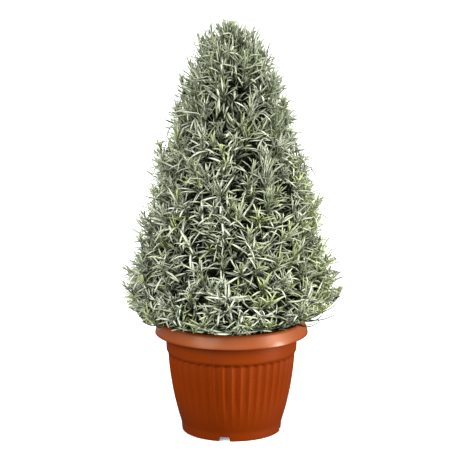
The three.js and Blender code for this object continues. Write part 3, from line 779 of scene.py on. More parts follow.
def stalk_finish(settings):
    """Green square shoot, turning to wood towards its base, painted near black deep inside the crown as
    painted shade. Its points carry along, 0 at the base, and depth.
    """
    finish = Finish("green_shoot", Specular_IOR_Level=0.15, Sheen_Weight=0.03)
    along = finish.value("along")
    streak = finish.noise(scale=1, detail=4, where=finish.stretched((900, 900, 160)))
    woody = finish.mix(streak, lighter(settings.woody, 0.6), lighter(settings.woody, 1.4))
    green = finish.mix(streak, lighter(settings.stalk, 0.75), lighter(settings.stalk, 1.25))
    # Painted shade: stalks deep inside the crown are painted near black.
    shade = finish.steps(finish.value("depth"), SHADE["from"], SHADE["to"])
    tint = finish.mix(finish.steps(along + 0.25 * (streak - 0.5), 0.12, 0.62), woody, green)
    finish.colour(finish.mix(shade * SHADE["most"], tint, settings.painted_shade))
    finish.roughness(0.70 + 0.2 * streak)
    finish.bump(streak, strength=0.4, distance=0.0004)
    return finish.material


# ---- pot ----


# The body's outside from its foot to the band, as the three points of a parabola, and its wall.
BODY = np.array([[0.0790, 0.014], [0.0965, 0.068], [0.0996, 0.125]])
BODY_WALL = 0.0043
# A flute: the columns over half of it, from its ridge, 1, to its middle, 0; its upper end, an arch a gap
# below the band; and the heights between which its foot fades away.
FLUTE = {
    "columns": [1, 0.90, 0.64, 0.31, 0], "gap": 0.0035, "arch": 0.0040, "edge": 0.0014,
    "foot": (0.018, 0.080),
}
# A notch's sides slope over twice an edge. Outside the foot ring it has faded away at a height. Rows of
# the section that lie this near the ring's inside count as within it.
NOTCH_EDGE = 0.0006
NOTCH_FADE = 0.014
NEAR = 0.0001
# Radius of the innermost ring round a pole, and the longest stretch between two rows of the pot.
POLE_RADIUS = 0.004
ROW_SPACING = 0.0038


def straight(start, end, spacing):
    """Evenly spaced points between two others, none of them farther apart than the spacing."""
    count = int(np.linalg.norm(end - start) / spacing)
    return [start + (end - start) * (i + 1) / (count + 1) for i in range(count)]


def rounded_line(corners, spacing, steps=4):
    """A line through corners (radius, height, setback), each cut back and joined by a parabola.

    Straight stretches get a row every spacing, so that shading stays true beside the round corners.
    """
    line = [np.array(corners[0][:2])]
    for before, corner, after in zip(corners, corners[1:], corners[2:]):
        here, setback = np.array(corner[:2]), corner[2]
        arc = [here]
        if setback > 0:
            back = here + unit(np.array(before[:2]) - here) * setback
            ahead = here + unit(np.array(after[:2]) - here) * setback
            arc = list(bezier(np.array([back, here, ahead]), np.arange(steps + 1) / steps))
        line += straight(line[-1], arc[0], spacing) + arc
    end = np.array(corners[-1][:2])
    return np.array(line + straight(line[-1], end, spacing) + [end])


def pot_section(s):
    """Rows of the pot's section from the floor's underside, round the outside, to the floor's top.

    Each corner is a radius, a height and how far it is cut back to round it.
    """
    inner_foot = s.foot - s.foot_wall
    lip = s.height - s.collar_drop
    outer = bezier(BODY, np.concatenate([np.linspace(0, 0.92, 22), np.linspace(0.93, 1, 10)]))
    inner = bezier(BODY, np.linspace(0.98, 0.05, 12))
    foot_ring = [
        (POLE_RADIUS, s.floor, 0),
        (inner_foot, s.floor, 0.0012),
        (inner_foot, 0, 0.0008),
        (s.foot, 0, 0.0012),
    ]
    band = [
        (s.band - s.band_taper, s.band_foot, 0.0016),
        (s.band, 0.171, 0.0012),
        (0.1095, 0.1725, 0.0022),
    ]
    collar = [
        (s.collar - 0.0024, lip + 0.0008, 0.0006),
        (s.collar, lip, 0.0008),
        (s.collar - 0.0012, lip + 0.0060, 0.0040),
        (s.rim + 0.0026, s.height - 0.0024, 0.0016),
        (s.rim, s.height, 0.0010),
        (s.rim_inner, s.height, 0.0018),
        (0.1001, 0.168, 0.0020),
    ]
    floor = [(0.0744, s.floor + s.wall, 0.0020), (POLE_RADIUS, s.floor + s.wall, 0)]
    outside = [(radius, height, 0) for radius, height in outer]
    inside = [(radius - BODY_WALL, height, 0) for radius, height in inner]
    return rounded_line([*foot_ring, *outside, *band, *collar, *inside, *floor], ROW_SPACING)


def flute_angles(s):
    """Angles round the pot: each flute has a column on its ridge and others that crowd towards it."""
    half = np.array(FLUTE["columns"])
    across = np.concatenate([-half, half[-2:0:-1]])
    return ((np.arange(s.flutes)[:, None] + (1 + across) / 2) / s.flutes * 2 * math.pi).ravel()


def flute_depth(s, angle, height):
    """How far a flute hollows the body: a parabola across it, full along the middle of its length.

    Its upper end is an arch, higher at the flute's middle than at its ridges, and its foot fades away.
    """
    across = 2 * np.mod(angle * s.flutes / (2 * math.pi), 1) - 1
    arch = s.band_foot - FLUTE["gap"] - FLUTE["arch"] * across**2
    top = 1 - smooth(height, arch - FLUTE["edge"], arch)
    return s.flute_depth * (1 - across**2) * top * smooth(height, *FLUTE["foot"])


def pot_points(s):
    """The section carried round the axis, hollowed by the flutes, with its foot ring lifted at the notches.

    A notch's lift is full at the ring's foot. It fades to nothing at the floor within the ring, and a
    little higher outside it.
    """
    section = pot_section(s)
    angle = flute_angles(s)
    radius = np.repeat(section[:, :1], len(angle), axis=1)
    height = np.repeat(section[:, 1:], len(angle), axis=1)
    mouth = int(np.argmax(section[:, 0]))
    outside = (np.arange(len(section)) < mouth)[:, None]
    radius = radius - flute_depth(s, angle[None], height) * outside
    quarter = math.pi / 2
    off_notch = np.abs(np.mod(angle - s.notch_turn + quarter / 2, quarter) - quarter / 2) * s.foot
    half = s.notch_width / 2
    lift = s.notch_height * (1 - smooth(off_notch, half - NOTCH_EDGE, half + NOTCH_EDGE))
    within = section[:, :1] < s.foot - s.foot_wall + NEAR
    fade = np.where(within, s.floor, NOTCH_FADE)
    ring = np.clip((fade - height) / fade, 0, 1) * outside
    return polar(radius, angle[None], height + lift * ring)


def drill(piece, s):
    """Cuts the drain holes through the floor, by drills that stand out above and below it."""
    sides, beyond = 20, 0.003
    angle = np.arange(sides) / sides * 2 * math.pi
    centres = (np.arange(s.drains) + 0.5) / s.drains * 2 * math.pi
    levels = [s.floor - beyond, s.floor + s.wall + beyond]
    points, faces = [], []
    for i, centre in enumerate(centres):
        middle = polar(s.drain_ring, centre, 0.0)
        rings = [middle + polar(s.drain, angle, level) for level in levels]
        first = 2 * sides * i
        points += rings
        faces += [grid_quads(2, sides) + first]
        caps = [np.arange(sides)[::-1] + first, np.arange(sides) + first + sides]
        faces += [cap[None] for cap in caps]
    drills = bpy.data.objects.new("drain_drills", make_mesh("drain_drills", np.concatenate(points), faces))
    bpy.context.scene.collection.objects.link(drills)
    cut = piece.modifiers.new("drain_holes", "BOOLEAN")
    cut.object = drills
    cut.solver = "MANIFOLD"
    graph = bpy.context.evaluated_depsgraph_get()
    drilled = bpy.data.meshes.new_from_object(piece.evaluated_get(graph))
    piece.modifiers.clear()
    bpy.data.objects.remove(drills)
    return drilled


class LAVENDER_OT_pot(bpy.types.Operator):
    """Builds the fluted pot with its collar, foot ring, notches and drain holes"""

    bl_idname = "lavender.pot"
    bl_label = "Fluted Pot"

    def execute(self, context):
        s = context.scene.lavender_pot
        poles = [[0, 0, s.floor], [0, 0, s.floor + s.wall]]
        mesh = make_mesh("fluted_pot", *closed_body(pot_points(s), poles))
        piece = place("fluted_pot", mesh, [plastic_finish(s)], "pot_plastic", "pot")
        piece.data = drill(piece, s)
        return {"FINISHED"}


# ---- potting mix ----


# The mix stands a hair inside the pot: its wall as radii at heights, and its underside. The top's flat
# part ends at an edge, rounds down to the wall, and is a mound over a radius.
MIX = {
    "wall_heights": [0.0115, 0.060, 0.114, 0.168], "wall_radii": [0.0755, 0.0868, 0.0938, 0.1002],
    "foot": 0.0125, "foot_edge": 0.070, "foot_round": 0.014,
    "edge": 0.0955, "round": 0.003, "mound": 0.002, "mound_radius": 0.1,
}
# Loose crumbs lie within a reach of the axis, above the top. Their sizes are a mean and a spread of
# logarithms. Each is a ball made rough, with drawn shares of its size along three axes.
CRUMBS = {
    "seed": 11, "reach": 0.096, "above": 0.0016, "sizes": (-0.25, 0.45), "largest": 0.0065,
    "rough": (0.72, 1.2), "thin": (0.8, 0.5, 0.25), "thick": (1.9, 1.0, 0.7),
}


def mix_points(s, columns):
    """A lumpy top, an edge that rounds down beside the pot's wall, and a plain underside."""
    top_radii = np.linspace(POLE_RADIUS, MIX["edge"], 44)
    side_heights = np.linspace(s.top - MIX["round"], MIX["foot_round"], 12)
    side_radii = np.interp(side_heights, MIX["wall_heights"], MIX["wall_radii"])
    radius = np.concatenate([top_radii, side_radii, [MIX["foot_edge"], POLE_RADIUS]])
    height = np.concatenate([np.full(len(top_radii), s.top), side_heights, np.full(2, MIX["foot"])])
    angle = np.arange(columns) / columns * 2 * math.pi
    points = polar(radius[:, None], angle[None], height[:, None])
    flat = points * [1, 1, 0]
    coarse = 0.6 * waves(flat, scale=0.034, seed=5, octaves=3)
    fine = 0.55 * waves(flat, scale=0.009, seed=6, octaves=3)
    on_top = (np.arange(len(radius)) < len(top_radii))[:, None]
    mound = MIX["mound"] * (1 - (radius / MIX["mound_radius"]) ** 2)[:, None]
    points[..., 2] += on_top * (s.lump * (coarse + fine) + mound)
    return points


def lump_cloud(centres, sizes, rng):
    """Small closed lumps: rough balls of 3 rings and 2 poles, with drawn thicknesses and turns.

    Returns their points and their faces.
    """
    columns, rings = 6, 3
    angle = np.arange(columns) / columns * 2 * math.pi
    level = (np.arange(rings) + 1) / (rings + 1) * math.pi
    grid = polar(np.sin(level)[:, None], angle[None], -np.cos(level)[:, None])
    ball, blocks = closed_body(grid, [[0, 0, -1], [0, 0, 1]])
    count = len(centres)
    rough = ball[None] * rng.uniform(*CRUMBS["rough"], size=(count, len(ball), 1))
    flat = rng.uniform(CRUMBS["thin"], CRUMBS["thick"], size=(count, 3))
    turn = np.linalg.qr(rng.normal(size=(count, 3, 3)))[0]
    turn *= np.sign(np.linalg.det(turn))[:, None, None]
    points = np.einsum("nij,nkj->nki", turn, rough * flat[:, None] * sizes[:, None, None])
    points += centres[:, None]
    offset = (np.arange(count) * len(ball))[:, None, None]
    return points.reshape(-1, 3), [(block + offset).reshape(-1, block.shape[1]) for block in blocks]


class LAVENDER_OT_mix(bpy.types.Operator):
    """Fills the pot with lumpy potting mix and scatters crumbs and bark chips on it"""

    bl_idname = "lavender.mix"
    bl_label = "Potting Mix"

    def execute(self, context):
        s = context.scene.lavender_mix
        grid = mix_points(s, 132)
        points, blocks = closed_body(grid, [grid[0].mean(axis=0), [0, 0, MIX["foot"]]])
        rng = np.random.default_rng(CRUMBS["seed"])
        angle = rng.uniform(0, 2 * math.pi, s.crumbs)
        radius = CRUMBS["reach"] * np.sqrt(rng.uniform(0, 1, s.crumbs))
        sizes = np.minimum(s.crumb * rng.lognormal(*CRUMBS["sizes"], s.crumbs), CRUMBS["largest"])
        crumbs, crumb_faces = lump_cloud(polar(radius, angle, s.top + CRUMBS["above"]), sizes, rng)
        faces = [block[:, ::-1] for block in blocks] + [block + len(points) for block in crumb_faces]
        mesh = make_mesh("potting_mix", np.concatenate([points, crumbs]), faces)
        place("potting_mix", mesh, [mix_finish(s)], "potting_soil", "soil")
        return {"FINISHED"}


# ---- wood ----


def leader_line():
    """The central leader's places, straight in the mix and swaying above it."""
    i = np.arange(len(LEADER["heights"]))
    sway = np.where(i < LEADER["upright"], 0.0, LEADER["sway"])
    return np.stack([spread(i, 3, sway), spread(i, 4, sway), LEADER["heights"]], axis=1)


def stem_line(n):
    """A main stem's places: out from the leader and up, in its own sixth of the crown."""
    i = np.arange(len(STEM["heights"]))
    sway = spread(n, 5, STEM["sway_degrees"]), spread(n + 7 * i, 6, STEM["sway_degrees"])
    azimuth = (n + 0.5) / STEM["count"] * 360 + sway[0] + sway[1]
    return polar(np.array(STEM["reach"]), np.radians(azimuth), np.array(STEM["heights"]) + n * STEM["rise"])


def curve_through(places, radii, step):
    """A smooth line through places, by cubic pieces whose slope at a place is half the step across it."""
    places = np.array(places)
    before = np.concatenate([places[:1], places[:-1]])
    after = np.concatenate([places[1:], places[-1:]])
    slope = (after - before) / 2
    line, girth = [], []
    for i in range(len(places) - 1):
        count = max(2, round(np.linalg.norm(places[i + 1] - places[i]) / step))
        t = (np.arange(count) / count)[:, None]
        a, b, c, d = 2 * t**3 - 3 * t**2 + 1, t**3 - 2 * t**2 + t, 3 * t**2 - 2 * t**3, t**3 - t**2
        line.append(a * places[i] + b * slope[i] + c * places[i + 1] + d * slope[i + 1])
        girth.append(radii[i] + (radii[i + 1] - radii[i]) * t[:, 0])
    return np.concatenate([*line, places[-1:]]), np.concatenate([*girth, radii[-1:]])


def limb(line, girth, columns, seed):
    """A tube along a line, knobbly by coarse and fine waves. It is closed by a point at each end.

    Returns its points and its faces.
    """
    way = unit(np.gradient(line, axis=0))
    chord = np.abs(unit(line[-1] - line[0]))
    reference = np.eye(3)[int(np.argmin(chord))]
    across = unit(reference - dot(way, reference) * way)
    other = np.cross(way, across)
    angle = (np.arange(columns) / columns * 2 * math.pi)[None, :, None]
    out = across[:, None] * np.cos(angle) + other[:, None] * np.sin(angle)
    skin_line = line[:, None] + out * girth[:, None, None]
    coarse = 0.10 * waves(skin_line, scale=0.016, seed=seed, octaves=2)
    fine = 0.05 * waves(skin_line, scale=0.005, seed=seed + 1, octaves=1)
    points = line[:, None] + out * (girth[:, None] * (1 + coarse + fine))[..., None]
    return closed_body(points, line[[0, -1]])


def anchors_along(line, start):
    """Places along a limb where a twig may leave it, evenly spaced, above the pot's rim."""
    found = []
    for a, b in zip(line[start:], line[start + 1 :]):
        count = math.ceil(np.linalg.norm(b - a) / TWIG["spacing"])
        share = (np.arange(count) + 0.5) / count
        found.append(a + (b - a) * share[:, None])
    found = np.concatenate(found)
    return found[found[:, 2] > POT_HEIGHT]


def twig_line(main, anchors):
    """A twig from the best anchor to a main shoot's base: short, little bent, and rising."""
    base, base_way = main[0], bezier_way(main, 0)
    span = base - anchors
    length = np.linalg.norm(span, axis=1)
    turn = np.arccos(np.clip(span @ base_way / length, -1, 1))
    fall = np.maximum(0, anchors[:, 2] + TWIG["below"] - base[2])
    cost = length + TWIG["turn_cost"] * np.maximum(0, turn - TWIG["turn"]) + TWIG["fall_cost"] * fall
    best = anchors[int(np.argmin(cost))]
    reach = np.linalg.norm(base - best)
    axis = np.array([best, base - TWIG["bend"] * reach * base_way, base + TWIG["overlap"] * base_way])
    return bezier(axis, np.linspace(0, 1, TWIG["places"]))


def wood_lines():
    """The places of the leader and of each main stem."""
    return [leader_line()] + [stem_line(n) for n in range(STEM["count"])]


def twig_lines(sprays):
    """A twig to each spray's main shoot."""
    anchors = np.concatenate([anchors_along(line, 1) for line in wood_lines()])
    return np.array([twig_line(spray[0], anchors) for spray in sprays])


class LAVENDER_OT_wood(bpy.types.Operator):
    """Grows the stump, the leader, the main stems and a twig to each spray"""

    bl_idname = "lavender.wood"
    bl_label = "Woody Frame"

    def execute(self, context):
        s = context.scene.lavender_wood
        leader, *stems = wood_lines()
        limbs = [curve_through(leader, LEADER["radii"], LIMB_STEP)]
        limbs += [curve_through(stem, STEM["radii"], LIMB_STEP) for stem in stems]
        first, last = np.array(TWIG["taper"]) * TWIG["radius"]
        limbs += [(line, np.linspace(first, last, len(line))) for line in twig_lines(lay_out_sprays())]
        points, faces, shift = [], [], 0
        for number, (line, girth) in enumerate(limbs):
            columns = s.limb_sides if number <= STEM["count"] else TWIG["sides"]
            limb_points, blocks = limb(line, girth, columns, 100 + number)
            points.append(limb_points)
            faces += [block + shift for block in blocks]
            shift += len(limb_points)
        mesh = make_mesh("woody_frame", np.concatenate(points), faces)
        place("woody_frame", mesh, [bark_finish(s)], "bark", "wood")
        return {"FINISHED"}


# ---- leaves ----


class Blade:
    """A leaf's form: rings across it at stations from foot to tip.

    A ring's across and rise are shares of the half width at its station. The edges roll down, the middle
    has a shallow groove above and is thick below. Points lower than the underside's rise lie beneath.
    """

    underside = -0.25
    least_bow = 1e-3

    def __init__(self, stations, half_width, across, rise):
        self.stations = np.array(stations)
        self.half_width = np.array(half_width)
        self.across = np.array(across)
        self.rise = np.array(rise)
        self.quads, self.corners = skin(len(stations), len(across))

    def points(self, seats):
        """Points of all leaves at once.

        A leaf's middle line is an arc: its direction is turned from way, away from face, by bow times the
        share of its length. Its ring is turned about that line by twist times the same share.
        """
        share = self.stations[None, :, None]
        straight_leaf = np.abs(seats["bow"]) < self.least_bow
        bow = np.where(straight_leaf, self.least_bow, seats["bow"])[:, None, None]
        way, face = seats["way"][:, None], seats["face"][:, None]
        length = seats["length"][:, None, None]
        turned = bow * share
        line = seats["base"][:, None] + length / bow * (np.sin(turned) * way - (1 - np.cos(turned)) * face)
        normal = np.sin(turned) * way + np.cos(turned) * face
        side = np.broadcast_to(np.cross(face, way), normal.shape)
        twist = seats["twist"][:, None, None] * share
        twisted = side * np.cos(twist) + normal * np.sin(twist)
        normal = normal * np.cos(twist) - side * np.sin(twist)
        half = (seats["width"][:, None] / 2 * self.half_width)[..., None, None]
        ring = twisted[:, :, None] * self.across[:, None] + normal[:, :, None] * self.rise[:, None]
        return line[:, :, None] + half * ring

    def values(self, seats):
        """What the points carry: the leaf's own tone and youth, and the place on the leaf."""
        shape = (len(seats["base"]), len(self.stations), len(self.across))
        tone = np.broadcast_to(seats["tone"][:, None, None], shape)
        youth = np.broadcast_to(seats["youth"][:, None, None], shape)
        along = np.broadcast_to(self.stations[None, :, None], shape)
        edge = np.broadcast_to((np.abs(self.across) == 1)[None, None], shape)
        under = np.broadcast_to((self.rise < self.underside)[None, None], shape) & ~edge
        return {"tone": tone, "youth": youth, "along": along, "under": under, "edge": edge}


LEAF = Blade(
    [0, 0.26, 0.54, 0.84, 1],
    [0.46, 0.80, 1.0, 0.84, 0.22],
    [-1, -0.6, 0, 0.6, 1, 0],
    [-0.40, 0.10, -0.10, 0.10, -0.40, -0.30],
)
SMALL_LEAF = Blade([0, 0.35, 0.75, 1], [0.5, 1.0, 0.80, 0.14], [-1, 0, 1, 0], [-0.35, 0.12, -0.35, -0.30])

# Pairs of leaves, counted back from a shoot's tip: distance, length as a share of a full-grown leaf's, and
# lean in degrees. Pairs from AXIL_FROM on have small leaves in their axils. Old shoots have fewer pairs,
# of broader leaves.
NODES = np.array(
    [
        [0.0005, 0.36, 10],
        [0.0035, 0.58, 20],
        [0.0080, 0.78, 31],
        [0.0140, 0.92, 41],
        [0.0210, 1.00, 48],
        [0.0290, 1.02, 53],
        [0.0380, 1.00, 56],
        [0.0480, 0.96, 59],
        [0.0590, 0.90, 62],
    ]
)
AXIL_FROM = 3
OLD_NODES = NODES[3:8]
OLD_BREADTH = 1.5

# Ranges of the even draws that make shoots and leaves different, and means and spreads of the others.
EVEN = {
    "stretch": (0.75, 1.45), "spacing": (0.88, 1.12), "vigour": (0.82, 1.10), "open": (0.80, 1.50),
    "lean": (0.74, 1.22), "share": (0.82, 1.12), "width": (0.80, 1.20), "tone": (-0.30, 0.42),
    "small_lean": (0.35, 0.70), "small_share": (0.30, 0.66), "small_width": (0.55, 0.80),
}
NORMAL = {
    "curl": (0.50, 0.50), "turn": (0, 0.24), "bow": (0.15, 0.60), "twist": (0, 0.45),
    "small_turn": (0, 0.2), "small_bow": (0.12, 0.25),
}
# Near the top shoots open and curl less, their leaves are larger, and fewer of them grow. Their tone is
# lowered there as painted shade, against the stronger light on the top.
HIGH = {"heights": (0.42, 0.56), "open": 0.12, "curl": 0.2, "size": 0.16, "tone": 0.14, "keen": 0.7}
# The low right side gets the most sun, and more of its leaves are young.
SUNNY = {"aside": (0.04, 0.14), "heights": (0.30, 0.45), "youth": 0.45}
TONE = {"least": 0.14, "range": 0.34, "power": 0.8}
# A growing shoot is young at its tip, and less so along a reach. A few leaves are young on any shoot.
YOUTH = {"keen": (0.50, 1.0), "tip": 1.1, "reach": 0.015, "any": 0.12}
# A leaf's width: this share of a full-grown leaf's, and the rest as its length grows.
LEAST_WIDTH = 0.35
# The share of a shoot at its foot that bears no leaves.
BARE_FOOT = 0.04
# Small leaves stand this far aside of the leaf whose axil they fill, and this share of them is there.
SMALL = {"turn": 0.42, "there": 0.80}


def shoot_frames(axes, t):
    """At places t on each shoot: the point, the direction, and two directions across it."""
    wide = axes[:, None]
    point = bezier(wide, t)
    way = bezier_way(wide, t)
    tip_way = bezier_way(axes, np.ones(len(axes)))
    level = unit(np.cross(UP, tip_way) + 1e-9 * ACROSS)[:, None]
    across = unit(level - dot(level, way) * way)
    return point, way, across, np.cross(way, across)


def leaf_seats(point, way, across, other, azimuth, lean):
    """Where a leaf sits and how it points: leant out from the shoot, its face towards the tip."""
    azimuth, lean = azimuth[..., None], lean[..., None]
    out = np.cos(azimuth) * across + np.sin(azimuth) * other
    return {
        "base": point,
        "way": np.cos(lean) * way + np.sin(lean) * out,
        "face": np.sin(lean) * way - np.cos(lean) * out,
    }


def joined(parts):
    """Sets of arrays with the same keys, end to end."""
    return {key: np.concatenate([part[key] for part in parts]) for key in parts[0]}


class Shoots:
    """Some shoots with the same table of leaf pairs, and the draws that make each one different."""

    def __init__(self, axes, nodes, settings, rng):
        self.settings, self.rng, self.nodes = settings, rng, nodes
        pairs = len(nodes)
        self.shape = (len(axes), pairs)
        one = (len(axes), 1)
        line = bezier(axes[:, None], np.linspace(0, 1, 17)[None])
        length = np.linalg.norm(np.diff(line, axis=1), axis=2).sum(axis=1)[:, None]
        distance = nodes[:, 0] * self.even("stretch", one) * self.even("spacing")
        t = 1 - distance / length
        self.grown = t > BARE_FOOT
        self.frames = shoot_frames(axes, np.clip(t, 0, 1))
        self.phase = rng.uniform(0, math.pi, size=one) + np.arange(pairs) * math.pi / 2
        self.vigour = self.even("vigour", one)
        aside, height = axes[:, 2, :1], axes[:, 2, 2:]
        high = smooth(height, *HIGH["heights"])
        sunny = smooth(aside, *SUNNY["aside"]) * (1 - smooth(height, *SUNNY["heights"]))
        self.open = self.even("open", one) * (1 - HIGH["open"] * high)
        self.curl = self.normal("curl", one) * (1 - HIGH["curl"] * high)
        self.size = 1 + HIGH["size"] * high
        drawn = rng.uniform(0, 1, size=one) ** TONE["power"]
        # Painted shade: leaves near the top are made darker, since the top gets more light.
        self.tone = TONE["least"] - HIGH["tone"] * high + TONE["range"] * drawn
        keen = smooth(rng.uniform(0, 1, size=one), *YOUTH["keen"]) * (1 - HIGH["keen"] * high)
        fresh = keen * np.exp(-distance / YOUTH["reach"]) * YOUTH["tip"]
        some = YOUTH["any"] + SUNNY["youth"] * sunny
        self.youth = np.clip(fresh + some * rng.uniform(0, 1, self.shape) ** 2, 0, 1)

    def even(self, name, size=None):
        """An even draw for each pair of leaves, or for each shoot."""
        return self.rng.uniform(*EVEN[name], size=size or self.shape)

    def normal(self, name, size=None):
        """A draw near a mean for each pair of leaves, or for each shoot."""
        return self.rng.normal(*NORMAL[name], size=size or self.shape)

    def seats(self, chosen, azimuth, lean, share, bow, width, tone):
        """Seats of one leaf at each node where chosen is true."""
        size = self.settings.leaf_length * share
        values = {
            **leaf_seats(*self.frames, azimuth, lean),
            "length": size * self.size,
            "width": width * self.size,
            "bow": bow,
            "twist": self.normal("twist"),
            "tone": tone,
            "youth": self.youth,
        }
        return {key: value[chosen] for key, value in values.items()}

    def leaves(self, small_leaves, broad=1.0):
        """Seats of the pairs of leaves, and of the small leaves that fill their axils.

        Each pair stands a quarter turn from the next.
        """
        full, small = [], []
        in_axils = self.grown & (np.arange(self.shape[1]) >= AXIL_FROM)
        wide = self.settings.leaf_width
        for half in (0, math.pi):
            azimuth = self.phase + half + self.normal("turn")
            lean = np.radians(self.nodes[:, 2]) * self.open * self.even("lean")
            share = self.nodes[:, 1] * self.vigour * self.even("share")
            bow = self.curl + self.normal("bow")
            width = broad * wide * (LEAST_WIDTH + (1 - LEAST_WIDTH) * share) * self.even("width")
            tone = self.tone + self.even("tone")
            full.append(self.seats(self.grown, azimuth, lean, share, bow, width, tone))
            for side in (-1, 1) if small_leaves else ():
                leafy = in_axils & (self.rng.uniform(0, 1, size=self.shape) < SMALL["there"])
                small_azimuth = azimuth + side * SMALL["turn"] + self.normal("small_turn")
                small_lean = lean * self.even("small_lean")
                small_share = self.even("small_share")
                small_width = wide * self.even("small_width")
                small_bow = self.normal("small_bow")
                small.append(
                    self.seats(leafy, small_azimuth, small_lean, small_share, small_bow, small_width, tone)
                )
        return full, small


# Where leaves may be: above the mix in the pot's mouth, outside it above a line that rises over the rim,
# and lower only to the sides of the collar. They may pass the outline, taken a little lower, its widest
# radius and its top a little way. Below the widest height they are tucked in, more so on the right.
LEAF_SPACE = {
    "mouth": 0.1035, "above_mix": 0.1660, "rim_line": 0.1575, "rim_slope": 0.19,
    "collar_side": 0.122, "side_height": 0.166,
    "past_outline": 0.016, "lower": 0.004, "past_widest": 0.010, "past_top": 0.006,
    "tuck": 7, "right_tuck": 9, "right": 0.1,
}
# Tries to place a leaf: its length as a share, and how far it is raised.
TRIES = [(1.0, 0.0), (0.85, 0.35), (0.7, 0.7)]


def in_leaf_space(points):
    """True for each leaf that keeps clear of the pot and the mix, and near enough to the outline."""
    radius = np.hypot(points[..., 0], points[..., 1])
    z = points[..., 2]
    space = LEAF_SPACE
    rim_line = space["rim_line"] + space["rim_slope"] * radius
    beside = np.where(np.abs(points[..., 0]) > space["collar_side"], space["side_height"], rim_line)
    lowest = np.where(radius > space["mouth"], beside, space["above_mix"])
    apart = (z > lowest).all(axis=(1, 2))
    tuck = space["tuck"] + space["right_tuck"] * smooth(points[..., 0], 0.0, space["right"])
    tucked = tuck * np.maximum(0, Crown.wide - z) ** 2
    outline = Crown.radius(z - space["lower"]) + space["past_outline"] - Crown.waist(z)
    outline = np.minimum(outline, Crown.reach + space["past_widest"]) - tucked
    return apart & ((radius < outline) & (z < Crown.top + space["past_top"])).all(axis=(1, 2))


def grow_leaves(blade, seats):
    """The leaves' points. A leaf that would cut the pot or leave the outline is tried again closer in."""
    keep = []
    waiting = seats
    for shrink, lift in TRIES:
        tried = dict(waiting)
        tried["length"] = waiting["length"] * shrink
        raised = unit(waiting["way"] + lift * UP)
        tried["way"] = raised
        tried["face"] = unit(waiting["face"] - dot(waiting["face"], raised) * raised)
        points = blade.points(tried)
        good = in_leaf_space(points)
        keep.append((points[good], {key: value[good] for key, value in tried.items()}))
        waiting = {key: value[~good] for key, value in waiting.items()}
    points = np.concatenate([points for points, _ in keep])
    return points, blade.values(joined([kept for _, kept in keep]))


def shoot_stalks(axes, radius):
    """Tapered stalks along the shoots, six-sided, with stations from base to tip."""
    stations, columns = 10, 6
    t = np.linspace(0, 1, stations)[None]
    point, way, across, other = shoot_frames(axes, np.repeat(t, len(axes), axis=0))
    angle = np.arange(columns) / columns * 2 * math.pi
    girth = radius * np.linspace(1.0, 0.5, stations)[None, :, None, None]
    out = across[:, :, None] * np.cos(angle)[:, None] - other[:, :, None] * np.sin(angle)[:, None]
    points = point[:, :, None] + girth * out
    shape = points.shape[:-1]
    nothing = np.zeros(shape)
    along = np.broadcast_to(t[..., None], shape)
    values = {"tone": nothing, "youth": nothing, "along": along, "under": nothing, "edge": nothing}
    return points, values, skin(stations, columns)


# A cell of the UV map is 4 times as tall as it is wide. Its leaf or stalk fills a share of it each way,
# and keeps a share clear at its edges.
CELL_TALL = 4
CELL_FILL = 0.94
CELL_EDGE = 0.03


def spray_mesh(name, axes, old_axes, settings, rng):
    """All the shoots of one spray as one mesh. Every leaf and stalk has its own cell of the UV map.

    The old shoots in the shade have the plainer form of leaf only.
    """
    full, small = Shoots(axes, NODES, settings, rng).leaves(True)
    if len(old_axes):
        small += Shoots(old_axes, OLD_NODES, settings, rng).leaves(False, OLD_BREADTH)[0]
    full, small = joined(full), joined(small)
    every = np.concatenate([axes, old_axes])
    stalks, stalk_values, (stalk_quads, stalk_corners) = shoot_stalks(every, settings.stem_radius)
    groups = [
        (*grow_leaves(LEAF, full), LEAF.quads, LEAF.corners, 0),
        (*grow_leaves(SMALL_LEAF, small), SMALL_LEAF.quads, SMALL_LEAF.corners, 0),
        (stalks, stalk_values, stalk_quads, stalk_corners, 1),
    ]
    cells = sum(len(points) for points, *_ in groups)
    wide = math.ceil(math.sqrt(CELL_TALL * cells))
    tall = math.ceil(cells / wide)
    places, faces, uvs, kinds = [], [], [], []
    carried = {key: [] for key in stalk_values}
    shift, cell = 0, 0
    for points, values, quads, corners, kind in groups:
        count, each = len(points), points.shape[1] * points.shape[2]
        offset = shift + each * np.arange(count)
        faces.append((quads[None] + offset[:, None, None]).reshape(-1, 4))
        number = cell + np.arange(count)
        origin = np.stack([number % wide, number // wide], axis=1)[:, None, None]
        uvs.append(((corners[None] * CELL_FILL + CELL_EDGE + origin) / [wide, tall]).reshape(-1, 2))
        kinds.append(np.full(count * len(quads), kind))
        places.append(points.reshape(-1, 3))
        for key, value in values.items():
            carried[key].append(value.ravel())
        shift += count * each
        cell += count
    places, faces, kinds, uvs = (np.concatenate(parts) for parts in (places, faces, kinds, uvs))
    mesh = make_mesh(name, places, [faces], kinds, uvs)
    for key, value in carried.items():
        add_values(mesh, key, np.concatenate(value))
    add_values(mesh, "depth", Crown.depth(places))
    return mesh


FOLIAGE_SEED = 4000


